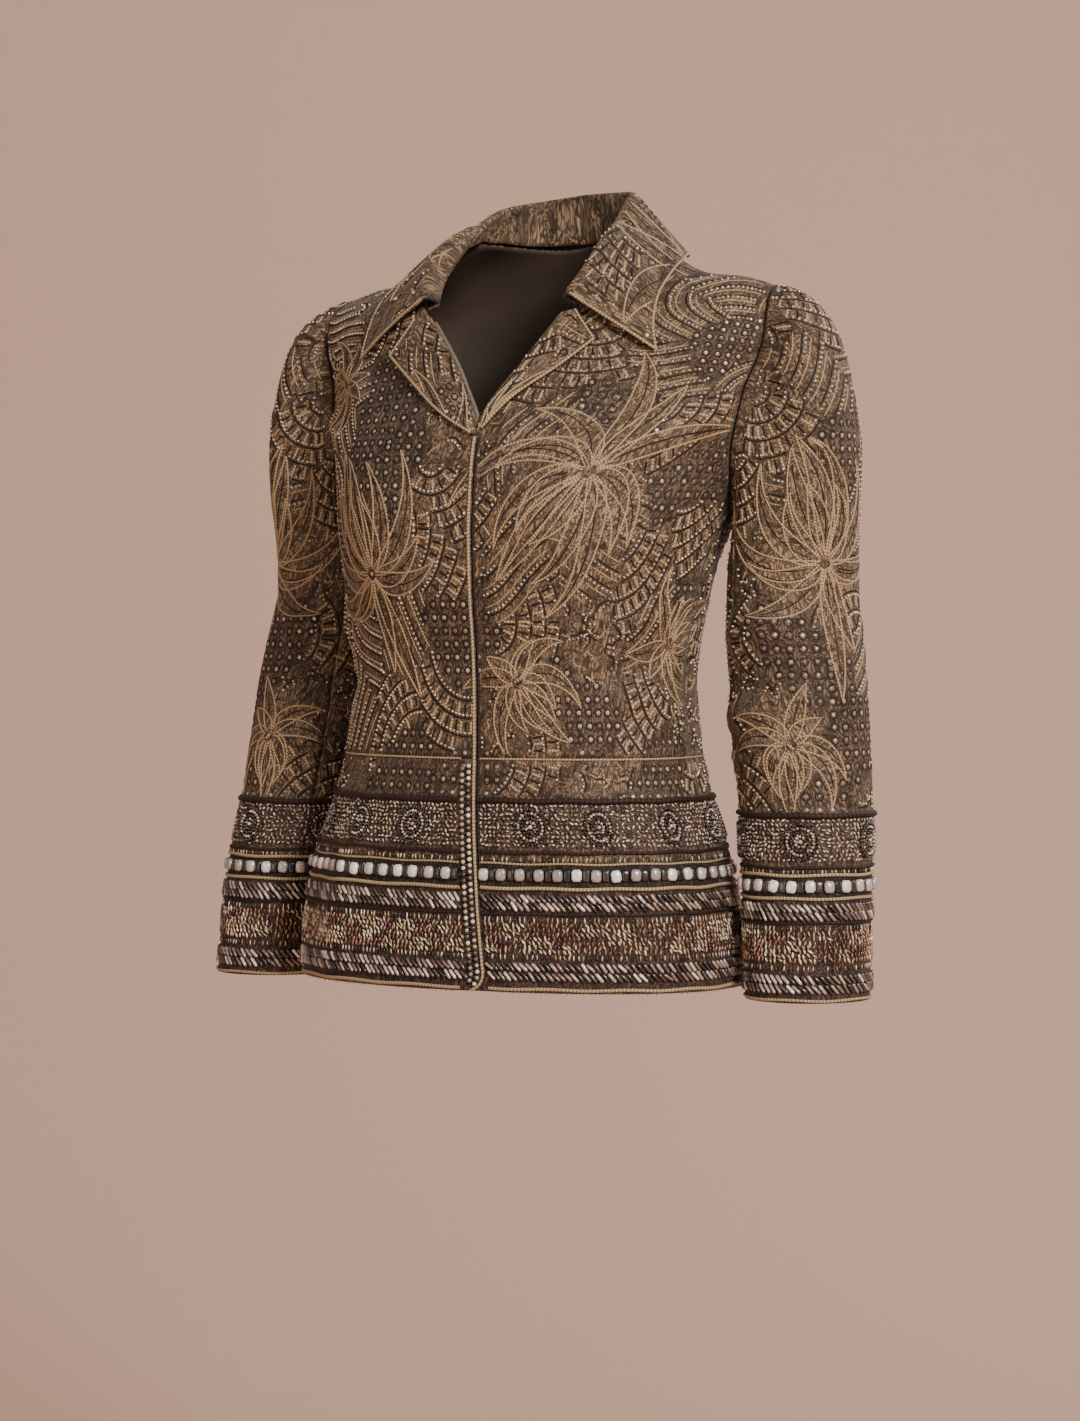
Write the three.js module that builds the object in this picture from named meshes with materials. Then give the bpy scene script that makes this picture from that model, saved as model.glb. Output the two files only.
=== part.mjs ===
// A fitted, beaded evening blazer in its worn form, as closed cloth walls.
// Millimetres, +Z up, the front faces -Y, +X is the wearer's left.
// The origin is the middle of the line between the two neck-side shoulder points,
// which is where the wearer's shoulders hold the jacket.
import * as THREE from 'three';

// Cloth and gaps
const CLOTH = 2.2; // embroidered cloth with interlining and lining
const COLLAR_CLOTH = 2.0;
const BEAD_BASE = 0.8; // tape under the square beads
const SEAM_GAP = 0.3;
const ARMHOLE_GAP = 0.8;
const LAID_GAP = 0.6; // between a piece and the cloth that it lies on
const UNDERLAP_INSET = 2.9; // the left front lies this far inside the right front
const UNDERLAP_WIDTH = 26;
const UNDERLAP_FADE = 20;

// Heights
const SHOULDER_LEVEL = 24;
const ARMPIT_LEVEL = -203;
const BREAK_LEVEL = -151;
const WAIST_LEVEL = -375;
const HEM_LEVEL = -536;
const CUFF_LEVEL = -542;
const FRONT_CORNER_RADIUS = 14;

// Bodice rings. Each ring falls away from its z at the centre line by slope times
// the distance x, and by a little more where the shoulder dips beside the neck.
// half is the half-width, front, back and side are y, arm angles end the panels.
const BODY_RINGS = [
  { z: -536, slope: 0, half: 167, front: -164, back: 50, side: -56, round: 0.85, armFront: 90, armBack: 90 },
  { z: -500, slope: 0, half: 164, front: -162, back: 48, side: -56, round: 0.85, armFront: 90, armBack: 90 },
  { z: -442, slope: 0, half: 153, front: -156, back: 43, side: -56, round: 0.85, armFront: 90, armBack: 90 },
  { z: -406, slope: 0, half: 142, front: -151, back: 38, side: -56, round: 0.85, armFront: 90, armBack: 90 },
  { z: -375, slope: 0, half: 134, front: -147, back: 35, side: -55, round: 0.85, armFront: 90, armBack: 90 },
  { z: -324, slope: 0, half: 127, front: -147, back: 37, side: -52, round: 0.85, armFront: 90, armBack: 90 },
  { z: -294, slope: 0, half: 129, front: -150, back: 40, side: -50, round: 0.85, armFront: 90, armBack: 90 },
  { z: -265, slope: 0, half: 133, front: -155, back: 45, side: -46, round: 0.82, armFront: 90, armBack: 90 },
  { z: -230, slope: 0, half: 139, front: -158, back: 52, side: -36, round: 0.8, armFront: 90, armBack: 90 },
  { z: -203, slope: 0, half: 147, front: -158, back: 58, side: -20, round: 0.82, armFront: 90, armBack: 90 },
  { z: -160, slope: 0, half: 162, front: -151, back: 64, side: -18, round: 1.1, armFront: 77, armBack: 77 },
  { z: -130, slope: 0.03, half: 174, front: -137, back: 66, side: -16, round: 1.35, armFront: 70, armBack: 71 },
  { z: -100, slope: 0.08, half: 180, front: -120, back: 66, side: -14, round: 1.5, armFront: 68, armBack: 66 },
  { z: -70, slope: 0.15, half: 185, front: -107, back: 66, side: -12, round: 1.5, armFront: 69, armBack: 62 },
  { z: -40, slope: 0.22, half: 190, front: -94, back: 62, side: -10, round: 1.35, armFront: 69, armBack: 60 },
  { z: -12, slope: 0.29, half: 195, front: -72, back: 54, side: -6, round: 1.2, armFront: 66, armBack: 60 },
  { z: 12, slope: 0.35, half: 198, front: -36, back: 34, side: -2, round: 1.2, armFront: 62, armBack: 60 },
  { z: 24, slope: 0.38, half: 199, front: 0, back: 0, side: 0, round: 1.2, armFront: 60, armBack: 60 },
];
const DIP = { x: 114, width: 28, deep: 26 };
const BUST = { x: 78, z: -205, out: 10, spreadX: 40, spreadZ: 48 };

// The right front closes over the left one. x of its edge, then of its roll line and neck.
const RIGHT_EDGE = [
  { z: -536, x: 28 },
  { z: -460, x: 18 },
  { z: -375, x: 11 },
  { z: -203, x: 13 },
  { z: -151, x: 12 },
];
const LEFT_NECK = [
  { z: -151, x: 12 },
  { z: -135, x: 13 },
  { z: -112, x: 24 },
  { z: -88, x: 35 },
  { z: -62, x: 48 },
  { z: -40, x: 64 },
  { z: -10, x: 70 },
  { z: 24, x: 68 },
];
const RIGHT_NECK = [
  { z: -151, x: -12 },
  { z: -135, x: -7 },
  { z: -118, x: 5 },
  { z: -98, x: 20 },
  { z: -80, x: 34 },
  { z: -62, x: 48 },
  { z: -40, x: 64 },
  { z: -10, x: 70 },
  { z: 24, x: 68 },
];
const BACK_NECK = { halfWidth: 68, middle: -4 };

// Rows of the hem border, from the waist seam down, with how far each is raised
const HEM_ROWS = [
  { z: -375.3, raise: 0.2 }, // waist seam
  { z: -376.7, raise: 1.3 }, // waist piping
  { z: -378.2, raise: 0.1 },
  { z: -402.3, raise: 0 },
  { z: -404, raise: 1.2 }, // top braid
  { z: -406, raise: 0.3 },
  { z: -422, raise: 0.8 }, // upper beaded field
  { z: -437.6, raise: 0.3 },
  { z: -439.5, raise: 1.1 }, // dark line
  { z: -441.5, raise: 0.2 },
  { z: -449.3, raise: 0.2 }, // bed of the square beads
  { z: -461, raise: 0.2 },
  { z: -464, raise: 1.2 }, // pale line
  { z: -467, raise: 0.2 },
  { z: -474, raise: 1.8 }, // upper rope
  { z: -481, raise: 0.3 },
  { z: -497, raise: 1 }, // lower beaded field
  { z: -514, raise: 0.3 },
  { z: -521.5, raise: 1.9 }, // lower rope
  { z: -529.5, raise: 0.4 },
  { z: -533, raise: 0.1 },
  { z: -536, raise: 0 }, // hem edge
];
const CUFF_ROWS = [
  { z: -412.3, raise: 0 },
  { z: -414, raise: 1.2 }, // top braid
  { z: -416, raise: 0.3 },
  { z: -432, raise: 0.8 }, // upper beaded field
  { z: -449, raise: 0.3 },
  { z: -453.2, raise: 0.2 },
  { z: -455, raise: 1.1 }, // pale line
  { z: -457, raise: 0.2 },
  { z: -468.5, raise: 0.2 }, // bed of the square beads ends
  { z: -471, raise: 1.1 }, // pale line
  { z: -473.5, raise: 0.2 },
  { z: -480, raise: 1.8 }, // upper rope
  { z: -487, raise: 0.3 },
  { z: -504, raise: 1 }, // lower beaded field
  { z: -521, raise: 0.3 },
  { z: -528.5, raise: 1.9 }, // lower rope
  { z: -536.5, raise: 0.3 },
  { z: CUFF_LEVEL, raise: 0 },
];
// Rows of square beads. Lengths are along the row, and endGap and endTurn keep its ends
// apart, in radians at the side seams and in degrees inside the arm.
const HEM_BEADS = { top: -449.9, bottom: -460.3, pitch: 13.4, high: 1.9, backLength: 410, endGap: 0.006 };
const CUFF_BEADS = { top: -457.6, bottom: -467.9, pitch: 12.6, high: 1.9, length: 290, endTurn: 1.2 };
const FRONT_STRIP = { inner: 11.5, outer: 0.8, beadHigh: 1.2, tape: 0.6 };

// Sleeve rings below the cap: centre and radius at each height
const SLEEVE_RINGS = [
  { z: CUFF_LEVEL, x: 217.5, y: -41, radius: 43.5 },
  { z: -478, x: 212, y: -30, radius: 45 },
  { z: -414, x: 206, y: -18, radius: 47 },
  { z: -370, x: 200.5, y: -13, radius: 48 },
  { z: -300, x: 192, y: -5, radius: 48.5 },
  { z: -262, x: 187, y: 0, radius: 47 },
];
const CAP_END = -262;
const CAP_HANDLES = { topOut: 66, sideOut: 16, topUp: 128, underUp: 30 };
const UNDER_SLEEVE = { from: 128, to: 232 }; // degrees round the sleeve, 180 is the inside
const SLEEVE_SEAM_TURN = 0.45; // degrees, about 0.4 mm on each piece

// Collar stations from centre back (0) to the tip (1): neck seam, roll and outer edge.
// Neck and edge are x and climb, where climb is the body level up the front to the
// shoulder seam, and goes on growing as the level falls again down the back.
const COLLAR_STATIONS = [
  { s: 0, neckX: 0, neckClimb: 52, rollX: 0, rollY: 43, rollZ: 28, edgeX: 0, edgeClimb: 63 },
  { s: 0.2, neckX: 38, neckClimb: 40, rollX: 33, rollY: 36, rollZ: 28, edgeX: 48, edgeClimb: 49 },
  { s: 0.34, neckX: 58, neckClimb: 30, rollX: 51, rollY: 20, rollZ: 26, edgeX: 84, edgeClimb: 35 },
  { s: 0.46, neckX: 67, neckClimb: 24, rollX: 57, rollY: 3, rollZ: 21, edgeX: 101, edgeClimb: 24 },
  { s: 0.58, neckX: 69, neckClimb: 10, rollX: 60, rollY: -18, rollZ: 8, edgeX: 108, edgeClimb: 8 },
  { s: 0.7, neckX: 69, neckClimb: -10, rollX: 60, rollY: -42, rollZ: -10, edgeX: 111, edgeClimb: -18 },
  { s: 0.83, neckX: 66, neckClimb: -30, rollX: 60, rollY: -66, rollZ: -31, edgeX: 113, edgeClimb: -42 },
  { s: 1, neckX: 62, neckClimb: -44, rollX: 54, rollY: -88, rollZ: -55, edgeX: 117, edgeClimb: -71 },
];
const COLLAR_FOLD = 2.8; // outside radius of the roll
const STAND_GAP = 1.2; // between the neck edge of the fronts and back and the stand
const FALL_BOW = 5;
const FALL_GAP = 1.9; // between the fall's edge and the cloth under it
const RIGHT_DROP = 7; // the collar sits lower on the wearer's right
const FALL_AIR = 3; // the fall stands this far off the shoulders near its roll

// Lapels: roll line and outer edge from the break up, as x and z on the front
const LAPEL_LEFT = [
  { v: 0, rollX: 12.5, rollZ: -150, edgeX: 15, edgeZ: -147 },
  { v: 0.3, rollX: 15, rollZ: -131, edgeX: 31, edgeZ: -126 },
  { v: 0.65, rollX: 32, rollZ: -98, edgeX: 57, edgeZ: -104 },
  { v: 1, rollX: 52, rollZ: -64, edgeX: 78, edgeZ: -84 },
];
const LAPEL_RIGHT = [
  { v: 0, rollX: -12.5, rollZ: -150, edgeX: -10, edgeZ: -150 },
  { v: 0.3, rollX: -3, rollZ: -128, edgeX: 18, edgeZ: -136 },
  { v: 0.65, rollX: 23, rollZ: -95, edgeX: 50, edgeZ: -115 },
  { v: 1, rollX: 52, rollZ: -64, edgeX: 83, edgeZ: -92 },
];
const NOTCH = { u: 0.4, rise: 9.5 };

const COLOURS = {
  cloth: 0x705a44,
  border: 0x5a3f33,
  collar: 0x6c5741,
  beads: 0xcfc6b2,
  strip: 0x4a3a36,
};

// Interpolates every column of a table at a key, with smooth slopes
function lookup(table, key, at) {
  const last = table.length - 1;
  const rising = table[last][key] > table[0][key];
  let i = 0;
  while (i < last - 1 && (rising ? at > table[i + 1][key] : at < table[i + 1][key])) i += 1;
  const a = table[i];
  const b = table[i + 1];
  const span = b[key] - a[key];
  const f = THREE.MathUtils.clamp((at - a[key]) / span, 0, 1);
  const before = table[Math.max(i - 1, 0)];
  const after = table[Math.min(i + 2, last)];
  const row = {};
  for (const name of Object.keys(a)) {
    const slopeA = (b[name] - before[name]) / (b[key] - before[key]) * span;
    const slopeB = (after[name] - a[name]) / (after[key] - a[key]) * span;
    const f2 = f * f;
    const f3 = f2 * f;
    row[name] = (2 * f3 - 3 * f2 + 1) * a[name] + (f3 - 2 * f2 + f) * slopeA
      + (3 * f2 - 2 * f3) * b[name] + (f3 - f2) * slopeB;
  }
  return row;
}

const steps = (count) => Array.from({ length: count + 1 }, (_, i) => i / count);
const mix = THREE.MathUtils.lerp;
const fade = THREE.MathUtils.smoothstep;
const radians = THREE.MathUtils.degToRad;

// Distance that a ring's slope is multiplied by, at x
function fallAt(x) {
  const along = (Math.abs(x) - DIP.x) / DIP.width;
  return Math.abs(x) + DIP.deep * Math.exp(-along * along);
}

// A point of the body surface: angle 0 is centre front, 90 the left side, 180 centre back
function bodyPoint(angle, level) {
  const ring = lookup(BODY_RINGS, 'z', level);
  const x = ring.half * Math.sin(angle);
  const front = Math.cos(angle) > 0;
  const reach = (front ? ring.front : ring.back) - ring.side;
  let y = ring.side + reach * Math.abs(Math.cos(angle)) ** ring.round;
  const z = level - ring.slope * fallAt(x);
  if (front) {
    const dx = (Math.abs(x) - BUST.x) / BUST.spreadX;
    const dz = (z - BUST.z) / BUST.spreadZ;
    y -= BUST.out * Math.exp(-dx * dx - dz * dz);
  }
  return new THREE.Vector3(x, y, z);
}

function angleAt(x, level) {
  const { half } = lookup(BODY_RINGS, 'z', level);
  return Math.asin(THREE.MathUtils.clamp(x / half, -1, 1));
}

// Body level whose ring passes through height z at distance x from the centre line
function levelThrough(x, z) {
  let level = z;
  for (let i = 0; i < 8; i += 1) {
    level = z + lookup(BODY_RINGS, 'z', level).slope * fallAt(x);
  }
  return level;
}

// A closed wall over surface(u, v): outer grid, inner grid and a rim all round.
// u runs anticlockwise seen from above and v upward, or mirror is set for the right side.
// runsOn says that the surface goes on past its side edges, as it does at a seam.
function sheet(name, colour, shape) {
  const { surface, us, vs, wall = CLOTH, lift = () => 0, raise = () => 0, seam = null } = shape;
  const { mirror = false, runsOn = false } = shape;
  const outer = [];
  const inner = [];
  const nudge = 1e-3;
  const firstU = runsOn ? -1 : us[0];
  const lastU = runsOn ? 2 : us[us.length - 1];
  for (const v of vs) {
    for (const u of us) {
      const alongU = surface(Math.min(u + nudge, lastU), v)
        .sub(surface(Math.max(u - nudge, firstU), v));
      const alongV = surface(u, Math.min(v + nudge, vs[vs.length - 1]))
        .sub(surface(u, Math.max(v - nudge, vs[0])));
      const out = alongU.cross(alongV).normalize();
      if (seam) seam(out, u, v);
      const base = surface(u, v);
      outer.push(base.clone().addScaledVector(out, lift(u, v) + raise(u, v)));
      inner.push(base.addScaledVector(out, lift(u, v) - wall));
    }
  }
  const columns = us.length;
  const rows = vs.length;
  const at = (i, j) => j * columns + i;
  const under = (i, j) => outer.length + at(i, j);
  const faces = [];
  const quad = (a, b, c, d) => faces.push(a, b, c, a, c, d);
  for (let j = 0; j < rows - 1; j += 1) {
    for (let i = 0; i < columns - 1; i += 1) {
      quad(at(i, j), at(i + 1, j), at(i + 1, j + 1), at(i, j + 1));
      quad(under(i, j), under(i, j + 1), under(i + 1, j + 1), under(i + 1, j));
    }
  }
  for (let i = 0; i < columns - 1; i += 1) {
    quad(at(i, 0), under(i, 0), under(i + 1, 0), at(i + 1, 0));
    quad(at(i, rows - 1), at(i + 1, rows - 1), under(i + 1, rows - 1), under(i, rows - 1));
  }
  for (let j = 0; j < rows - 1; j += 1) {
    quad(at(0, j), at(0, j + 1), under(0, j + 1), under(0, j));
    quad(at(columns - 1, j), under(columns - 1, j), under(columns - 1, j + 1), at(columns - 1, j + 1));
  }
  const points = [...outer, ...inner];
  if (mirror) {
    points.forEach((point) => { point.x *= -1; });
    for (let i = 0; i < faces.length; i += 3) faces.splice(i + 1, 2, faces[i + 2], faces[i + 1]);
  }
  const geometry = new THREE.BufferGeometry().setFromPoints(points);
  geometry.setIndex(faces);
  geometry.computeVertexNormals();
  const finish = { color: colour, roughness: 0.75, metalness: 0 };
  if (colour === COLOURS.beads) Object.assign(finish, { roughness: 0.25, metalness: 0.4 });
  const mesh = new THREE.Mesh(geometry, new THREE.MeshStandardMaterial(finish));
  mesh.name = name;
  return mesh;
}

// Front edges in the panel's own half, where x grows towards its side seam
function cornerCut(level) {
  const drop = HEM_LEVEL + FRONT_CORNER_RADIUS - level;
  if (drop <= 0) return 0;
  const r = FRONT_CORNER_RADIUS;
  return r - Math.sqrt(Math.max(r * r - drop * drop, 0));
}
const overEdge = (level) => lookup(RIGHT_EDGE, 'z', level).x;
function edgeRight(level) {
  if (level > BREAK_LEVEL) return lookup(RIGHT_NECK, 'z', level).x;
  return -overEdge(level) + cornerCut(level);
}
function edgeLeft(level) {
  if (level <= BREAK_LEVEL) return overEdge(level) - UNDERLAP_WIDTH;
  const under = BREAK_LEVEL + UNDERLAP_WIDTH;
  return lookup(LEFT_NECK, 'z', level).x - UNDERLAP_WIDTH * (1 - fade(level, BREAK_LEVEL, under));
}

// Columns near a front edge keep their distance from it, and the others share the rest
const EDGE_BAND = { width: 30, share: 0.15 };
const bandColumn = (distance) => distance / EDGE_BAND.width * EDGE_BAND.share;
const armAngle = (level, column) => radians(Math.min(lookup(BODY_RINGS, 'z', level)[column], 90));
const SIDE_GAP = SEAM_GAP / 2 / BODY_RINGS[0].half; // as an angle

function frontPoint(edge, u, level) {
  const start = angleAt(edge(level), level);
  const inside = angleAt(edge(level) + EDGE_BAND.width, level);
  const end = armAngle(level, 'armFront') - SIDE_GAP;
  const { share } = EDGE_BAND;
  const angle = u < share ? mix(start, inside, u / share) : mix(inside, end, (u - share) / (1 - share));
  return bodyPoint(angle, level);
}

// How far the left front is set in under the right, and where ridges end near the closure
function underlapLift(x, level) {
  const from = level > BREAK_LEVEL ? lookup(LEFT_NECK, 'z', level).x : overEdge(level);
  return -UNDERLAP_INSET * (1 - fade(x, from + 2, from + UNDERLAP_FADE));
}
const leftRidges = (x, level) => fade(x, overEdge(level) + 1, overEdge(level) + 3.5);
const rightRidges = (x, level) => fade(x, edgeRight(level) + 12.5, edgeRight(level) + 14);

const acrossRight = [bandColumn(0), bandColumn(12.6), bandColumn(14.5), bandColumn(30),
  0.24, 0.35, 0.47, 0.59, 0.72, 0.86, 1];
const acrossLeft = [bandColumn(0), bandColumn(13), bandColumn(26.5), bandColumn(30),
  0.24, 0.35, 0.47, 0.59, 0.72, 0.86, 1];
const bodiceLevels = [WAIST_LEVEL + SEAM_GAP / 3,
  -350, -324, -300, -275, -252, -230, -214, -203, -184, -165, -151, -135,
  -118, -100, -80, -60, -40, -16, 6, SHOULDER_LEVEL];

// Fronts and back from the shoulders to the waist seam
const atShoulder = (level) => level >= SHOULDER_LEVEL - 0.01;

function bodiceFront(name, edge, mirror) {
  return sheet(name, COLOURS.cloth, {
    surface: (u, v) => {
      const point = frontPoint(edge, u, v);
      if (atShoulder(v)) point.y -= SEAM_GAP / 2;
      return point;
    },
    us: mirror ? acrossRight : acrossLeft,
    vs: bodiceLevels,
    lift: mirror ? () => 0 : (u, v) => underlapLift(frontPoint(edge, u, v).x, v),
    seam: (out, u, v) => {
      if (atShoulder(v)) out.setY(0).normalize();
    },
    mirror,
    runsOn: true,
  });
}

// The back's upper edge is the shoulder seam, and the neckline between its ends
function backTop(x) {
  const f = Math.min(Math.abs(x) / BACK_NECK.halfWidth, 1);
  return mix(BACK_NECK.middle, SHOULDER_LEVEL, f * f * (1.6 - 0.6 * f));
}
const BACK_SPLIT = -60; // rows above this level close up under the neckline
function backPoint(u, v) {
  const guess = (u - 0.5) * 2;
  const { half } = lookup(BODY_RINGS, 'z', SHOULDER_LEVEL);
  const topX = half * Math.sin(guess * armAngle(SHOULDER_LEVEL, 'armBack'));
  let level = v;
  if (v > BACK_SPLIT) {
    const f = (v - BACK_SPLIT) / (SHOULDER_LEVEL - BACK_SPLIT);
    level = mix(BACK_SPLIT, backTop(topX), f);
  }
  const point = bodyPoint(Math.PI + guess * (armAngle(level, 'armBack') - SIDE_GAP), level);
  if (atShoulder(level)) point.y += SEAM_GAP / 2;
  return point;
}
const BACK_COLUMNS = 18;
const bodiceBack = sheet('back', COLOURS.cloth, {
  surface: backPoint,
  us: steps(BACK_COLUMNS),
  vs: bodiceLevels,
  runsOn: true,
  seam: (out, u, v) => {
    const pastNeck = Math.abs(u - 0.5) * BACK_COLUMNS > 2.99;
    if (atShoulder(v) && pastNeck) out.setY(0).normalize();
  },
});

// Peplum with its raised border, waist seam to hem
const hemLevels = HEM_ROWS.map((row) => row.z).reverse();
const ridge = (rows, z) => rows.find((row) => Math.abs(row.z - z) < 0.01)?.raise ?? 0;

function peplumFront(name, edge, mirror) {
  const surface = (u, v) => frontPoint(edge, u, v);
  const clear = mirror ? rightRidges : leftRidges;
  return sheet(name, COLOURS.border, {
    surface, us: mirror ? acrossRight : acrossLeft, vs: hemLevels, mirror, runsOn: true,
    lift: mirror ? () => 0 : (u, v) => underlapLift(surface(u, v).x, v),
    raise: (u, v) => ridge(HEM_ROWS, v) * clear(surface(u, v).x, v),
  });
}

const peplumBack = sheet('peplum_back', COLOURS.border, {
  surface: backPoint,
  us: steps(BACK_COLUMNS),
  vs: hemLevels,
  runsOn: true,
  raise: (u, v) => ridge(HEM_ROWS, v),
});

// Square beads in a row: each pair is one raised light bead and a low dark one
function beadRow(name, beads, surface, length, mirror) {
  const pairs = Math.round(length / beads.pitch);
  const us = [];
  const high = new Set();
  for (let i = 0; i < pairs; i += 1) {
    for (const [place, isHigh] of [[0.04, false], [0.12, true], [0.5, true], [0.58, false]]) {
      const u = (i + place) / pairs;
      us.push(u);
      if (isHigh) high.add(u);
    }
  }
  us.push(1);
  return sheet(name, COLOURS.beads, {
    surface, us, vs: [beads.bottom, beads.top], wall: BEAD_BASE, mirror,
    lift: () => LAID_GAP + BEAD_BASE,
    raise: (u) => (high.has(u) ? beads.high : 0),
  });
}

function frontBeads(name, edge, clearance, mirror) {
  const surface = (u, v) => {
    const start = angleAt(edge(v) + clearance, v);
    return bodyPoint(mix(start, Math.PI / 2 - HEM_BEADS.endGap, u), v);
  };
  const lengthOf = surface(0, HEM_BEADS.top).distanceTo(surface(0.5, HEM_BEADS.top))
    + surface(0.5, HEM_BEADS.top).distanceTo(surface(1, HEM_BEADS.top));
  return beadRow(name, HEM_BEADS, surface, lengthOf, mirror);
}

const backBeads = beadRow('bead_row_back', HEM_BEADS, (u, v) => {
  const reach = Math.PI / 2 - HEM_BEADS.endGap;
  return bodyPoint(Math.PI + (u - 0.5) * 2 * reach, v);
}, HEM_BEADS.backLength, false);

// Two rows of beads down the right front's edge, below the waist seam
const stripLevels = [-535.2, -532, -527, -521, -505, -485, -460, -435, -410, -392, -379.5];
const frontStrip = sheet('front_bead_strip', COLOURS.strip, {
  surface: (u, v) => {
    const x = edgeRight(v) + mix(FRONT_STRIP.outer, FRONT_STRIP.inner, u);
    return bodyPoint(angleAt(x, v), v);
  },
  us: [0, 0.12, 0.38, 0.5, 0.62, 0.88, 1],
  vs: stripLevels,
  wall: FRONT_STRIP.tape,
  lift: () => LAID_GAP + FRONT_STRIP.tape,
  raise: (u) => ([0.12, 0.38, 0.62, 0.88].includes(u) ? FRONT_STRIP.beadHigh : 0),
  mirror: true,
});

// Sleeves: theta is 0 at the top or outside, a quarter turn at the front
const TURN = 2 * Math.PI;
function armholePoint(theta) {
  const f = (1 - Math.cos(theta)) / 2;
  const level = mix(SHOULDER_LEVEL, ARMPIT_LEVEL, f);
  const turned = ((theta % TURN) + TURN) % TURN;
  const front = turned <= Math.PI;
  const angle = front ? armAngle(level, 'armFront') : Math.PI - armAngle(level, 'armBack');
  return bodyPoint(angle, level);
}

function sleeveRing(theta, z) {
  const ring = lookup(SLEEVE_RINGS, 'z', z);
  const x = ring.x + ring.radius * Math.cos(theta);
  return new THREE.Vector3(x, ring.y - ring.radius * Math.sin(theta), z);
}

// v above 0 runs up the cap to the armhole at 1, and below 0 it is millimetres down
function sleevePoint(theta, v) {
  if (v <= 0) return sleeveRing(theta, CAP_END + v);
  const top = Math.max(Math.cos(theta), 0);
  const under = Math.max(-Math.cos(theta), 0);
  const out = new THREE.Vector3(1, -0.45 * Math.sin(theta), -0.12 * top - 0.1 * under).normalize();
  const armhole = armholePoint(theta).addScaledVector(out, ARMHOLE_GAP);
  const ring = sleeveRing(theta, CAP_END);
  const reachOut = mix(CAP_HANDLES.sideOut, CAP_HANDLES.topOut, top) - 5 * under;
  const reachUp = mix(CAP_HANDLES.underUp, CAP_HANDLES.topUp, (1 + Math.cos(theta)) / 2);
  const fromRing = ring.clone().setZ(ring.z + reachUp);
  const fromArmhole = armhole.clone().addScaledVector(out, reachOut);
  return new THREE.CubicBezierCurve3(ring, fromRing, fromArmhole, armhole).getPoint(v);
}

const sleeveLevels = [
  ...CUFF_ROWS.map((row) => row.z - CAP_END).reverse(),
  -120, -90, -60, -30, 0, 0.14, 0.28, 0.42, 0.56, 0.7, 0.84, 1,
];

// u runs against theta, so that the wall's outer side faces away from the arm
function sleevePiece(name, from, to, columns, mirror) {
  const surface = (u, v) => sleevePoint(radians(mix(to, from, u)), v);
  return sheet(name, COLOURS.cloth, {
    surface,
    us: steps(columns),
    vs: sleeveLevels,
    raise: (u, v) => (v < 0 ? ridge(CUFF_ROWS, v + CAP_END) : 0),
    mirror,
    runsOn: true,
  });
}

function sleeveSet(side, mirror) {
  const gap = SLEEVE_SEAM_TURN;
  const { from, to } = UNDER_SLEEVE;
  const ends = 180 - CUFF_BEADS.endTurn;
  const around = (u, v) => sleeveRing(-radians(mix(-ends, ends, u)), v);
  return [
    sleevePiece(`sleeve_top_${side}`, to - 360 + gap, from - gap, 14, mirror),
    sleevePiece(`sleeve_under_${side}`, from + gap, to - gap, 6, mirror),
    beadRow(`cuff_beads_${side}`, CUFF_BEADS, around, CUFF_BEADS.length, mirror),
  ];
}

// Lapels lie on the fronts, turned back along the roll line
function lapel(name, table, mirror) {
  const surface = (u, v) => {
    const row = lookup(table, 'v', v);
    const hat = u < NOTCH.u ? u / NOTCH.u : (1 - u) / (1 - NOTCH.u);
    const x = mix(row.rollX, row.edgeX, u);
    const z = mix(row.rollZ, row.edgeZ, u) + NOTCH.rise * hat * v ** 4;
    const level = levelThrough(x, z);
    return bodyPoint(angleAt(x, level), level);
  };
  return sheet(name, COLOURS.collar, {
    surface,
    us: [0, 0.13, 0.26, NOTCH.u, 0.6, 0.8, 1],
    vs: [0, 0.1, 0.2, 0.3, 0.42, 0.54, 0.66, 0.78, 0.9, 1],
    wall: COLLAR_CLOTH,
    lift: (u, v) => LAID_GAP + COLLAR_CLOTH + 2.5 * v * Math.sin(Math.PI * Math.min(u, 0.5)),
    mirror,
  });
}

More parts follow.
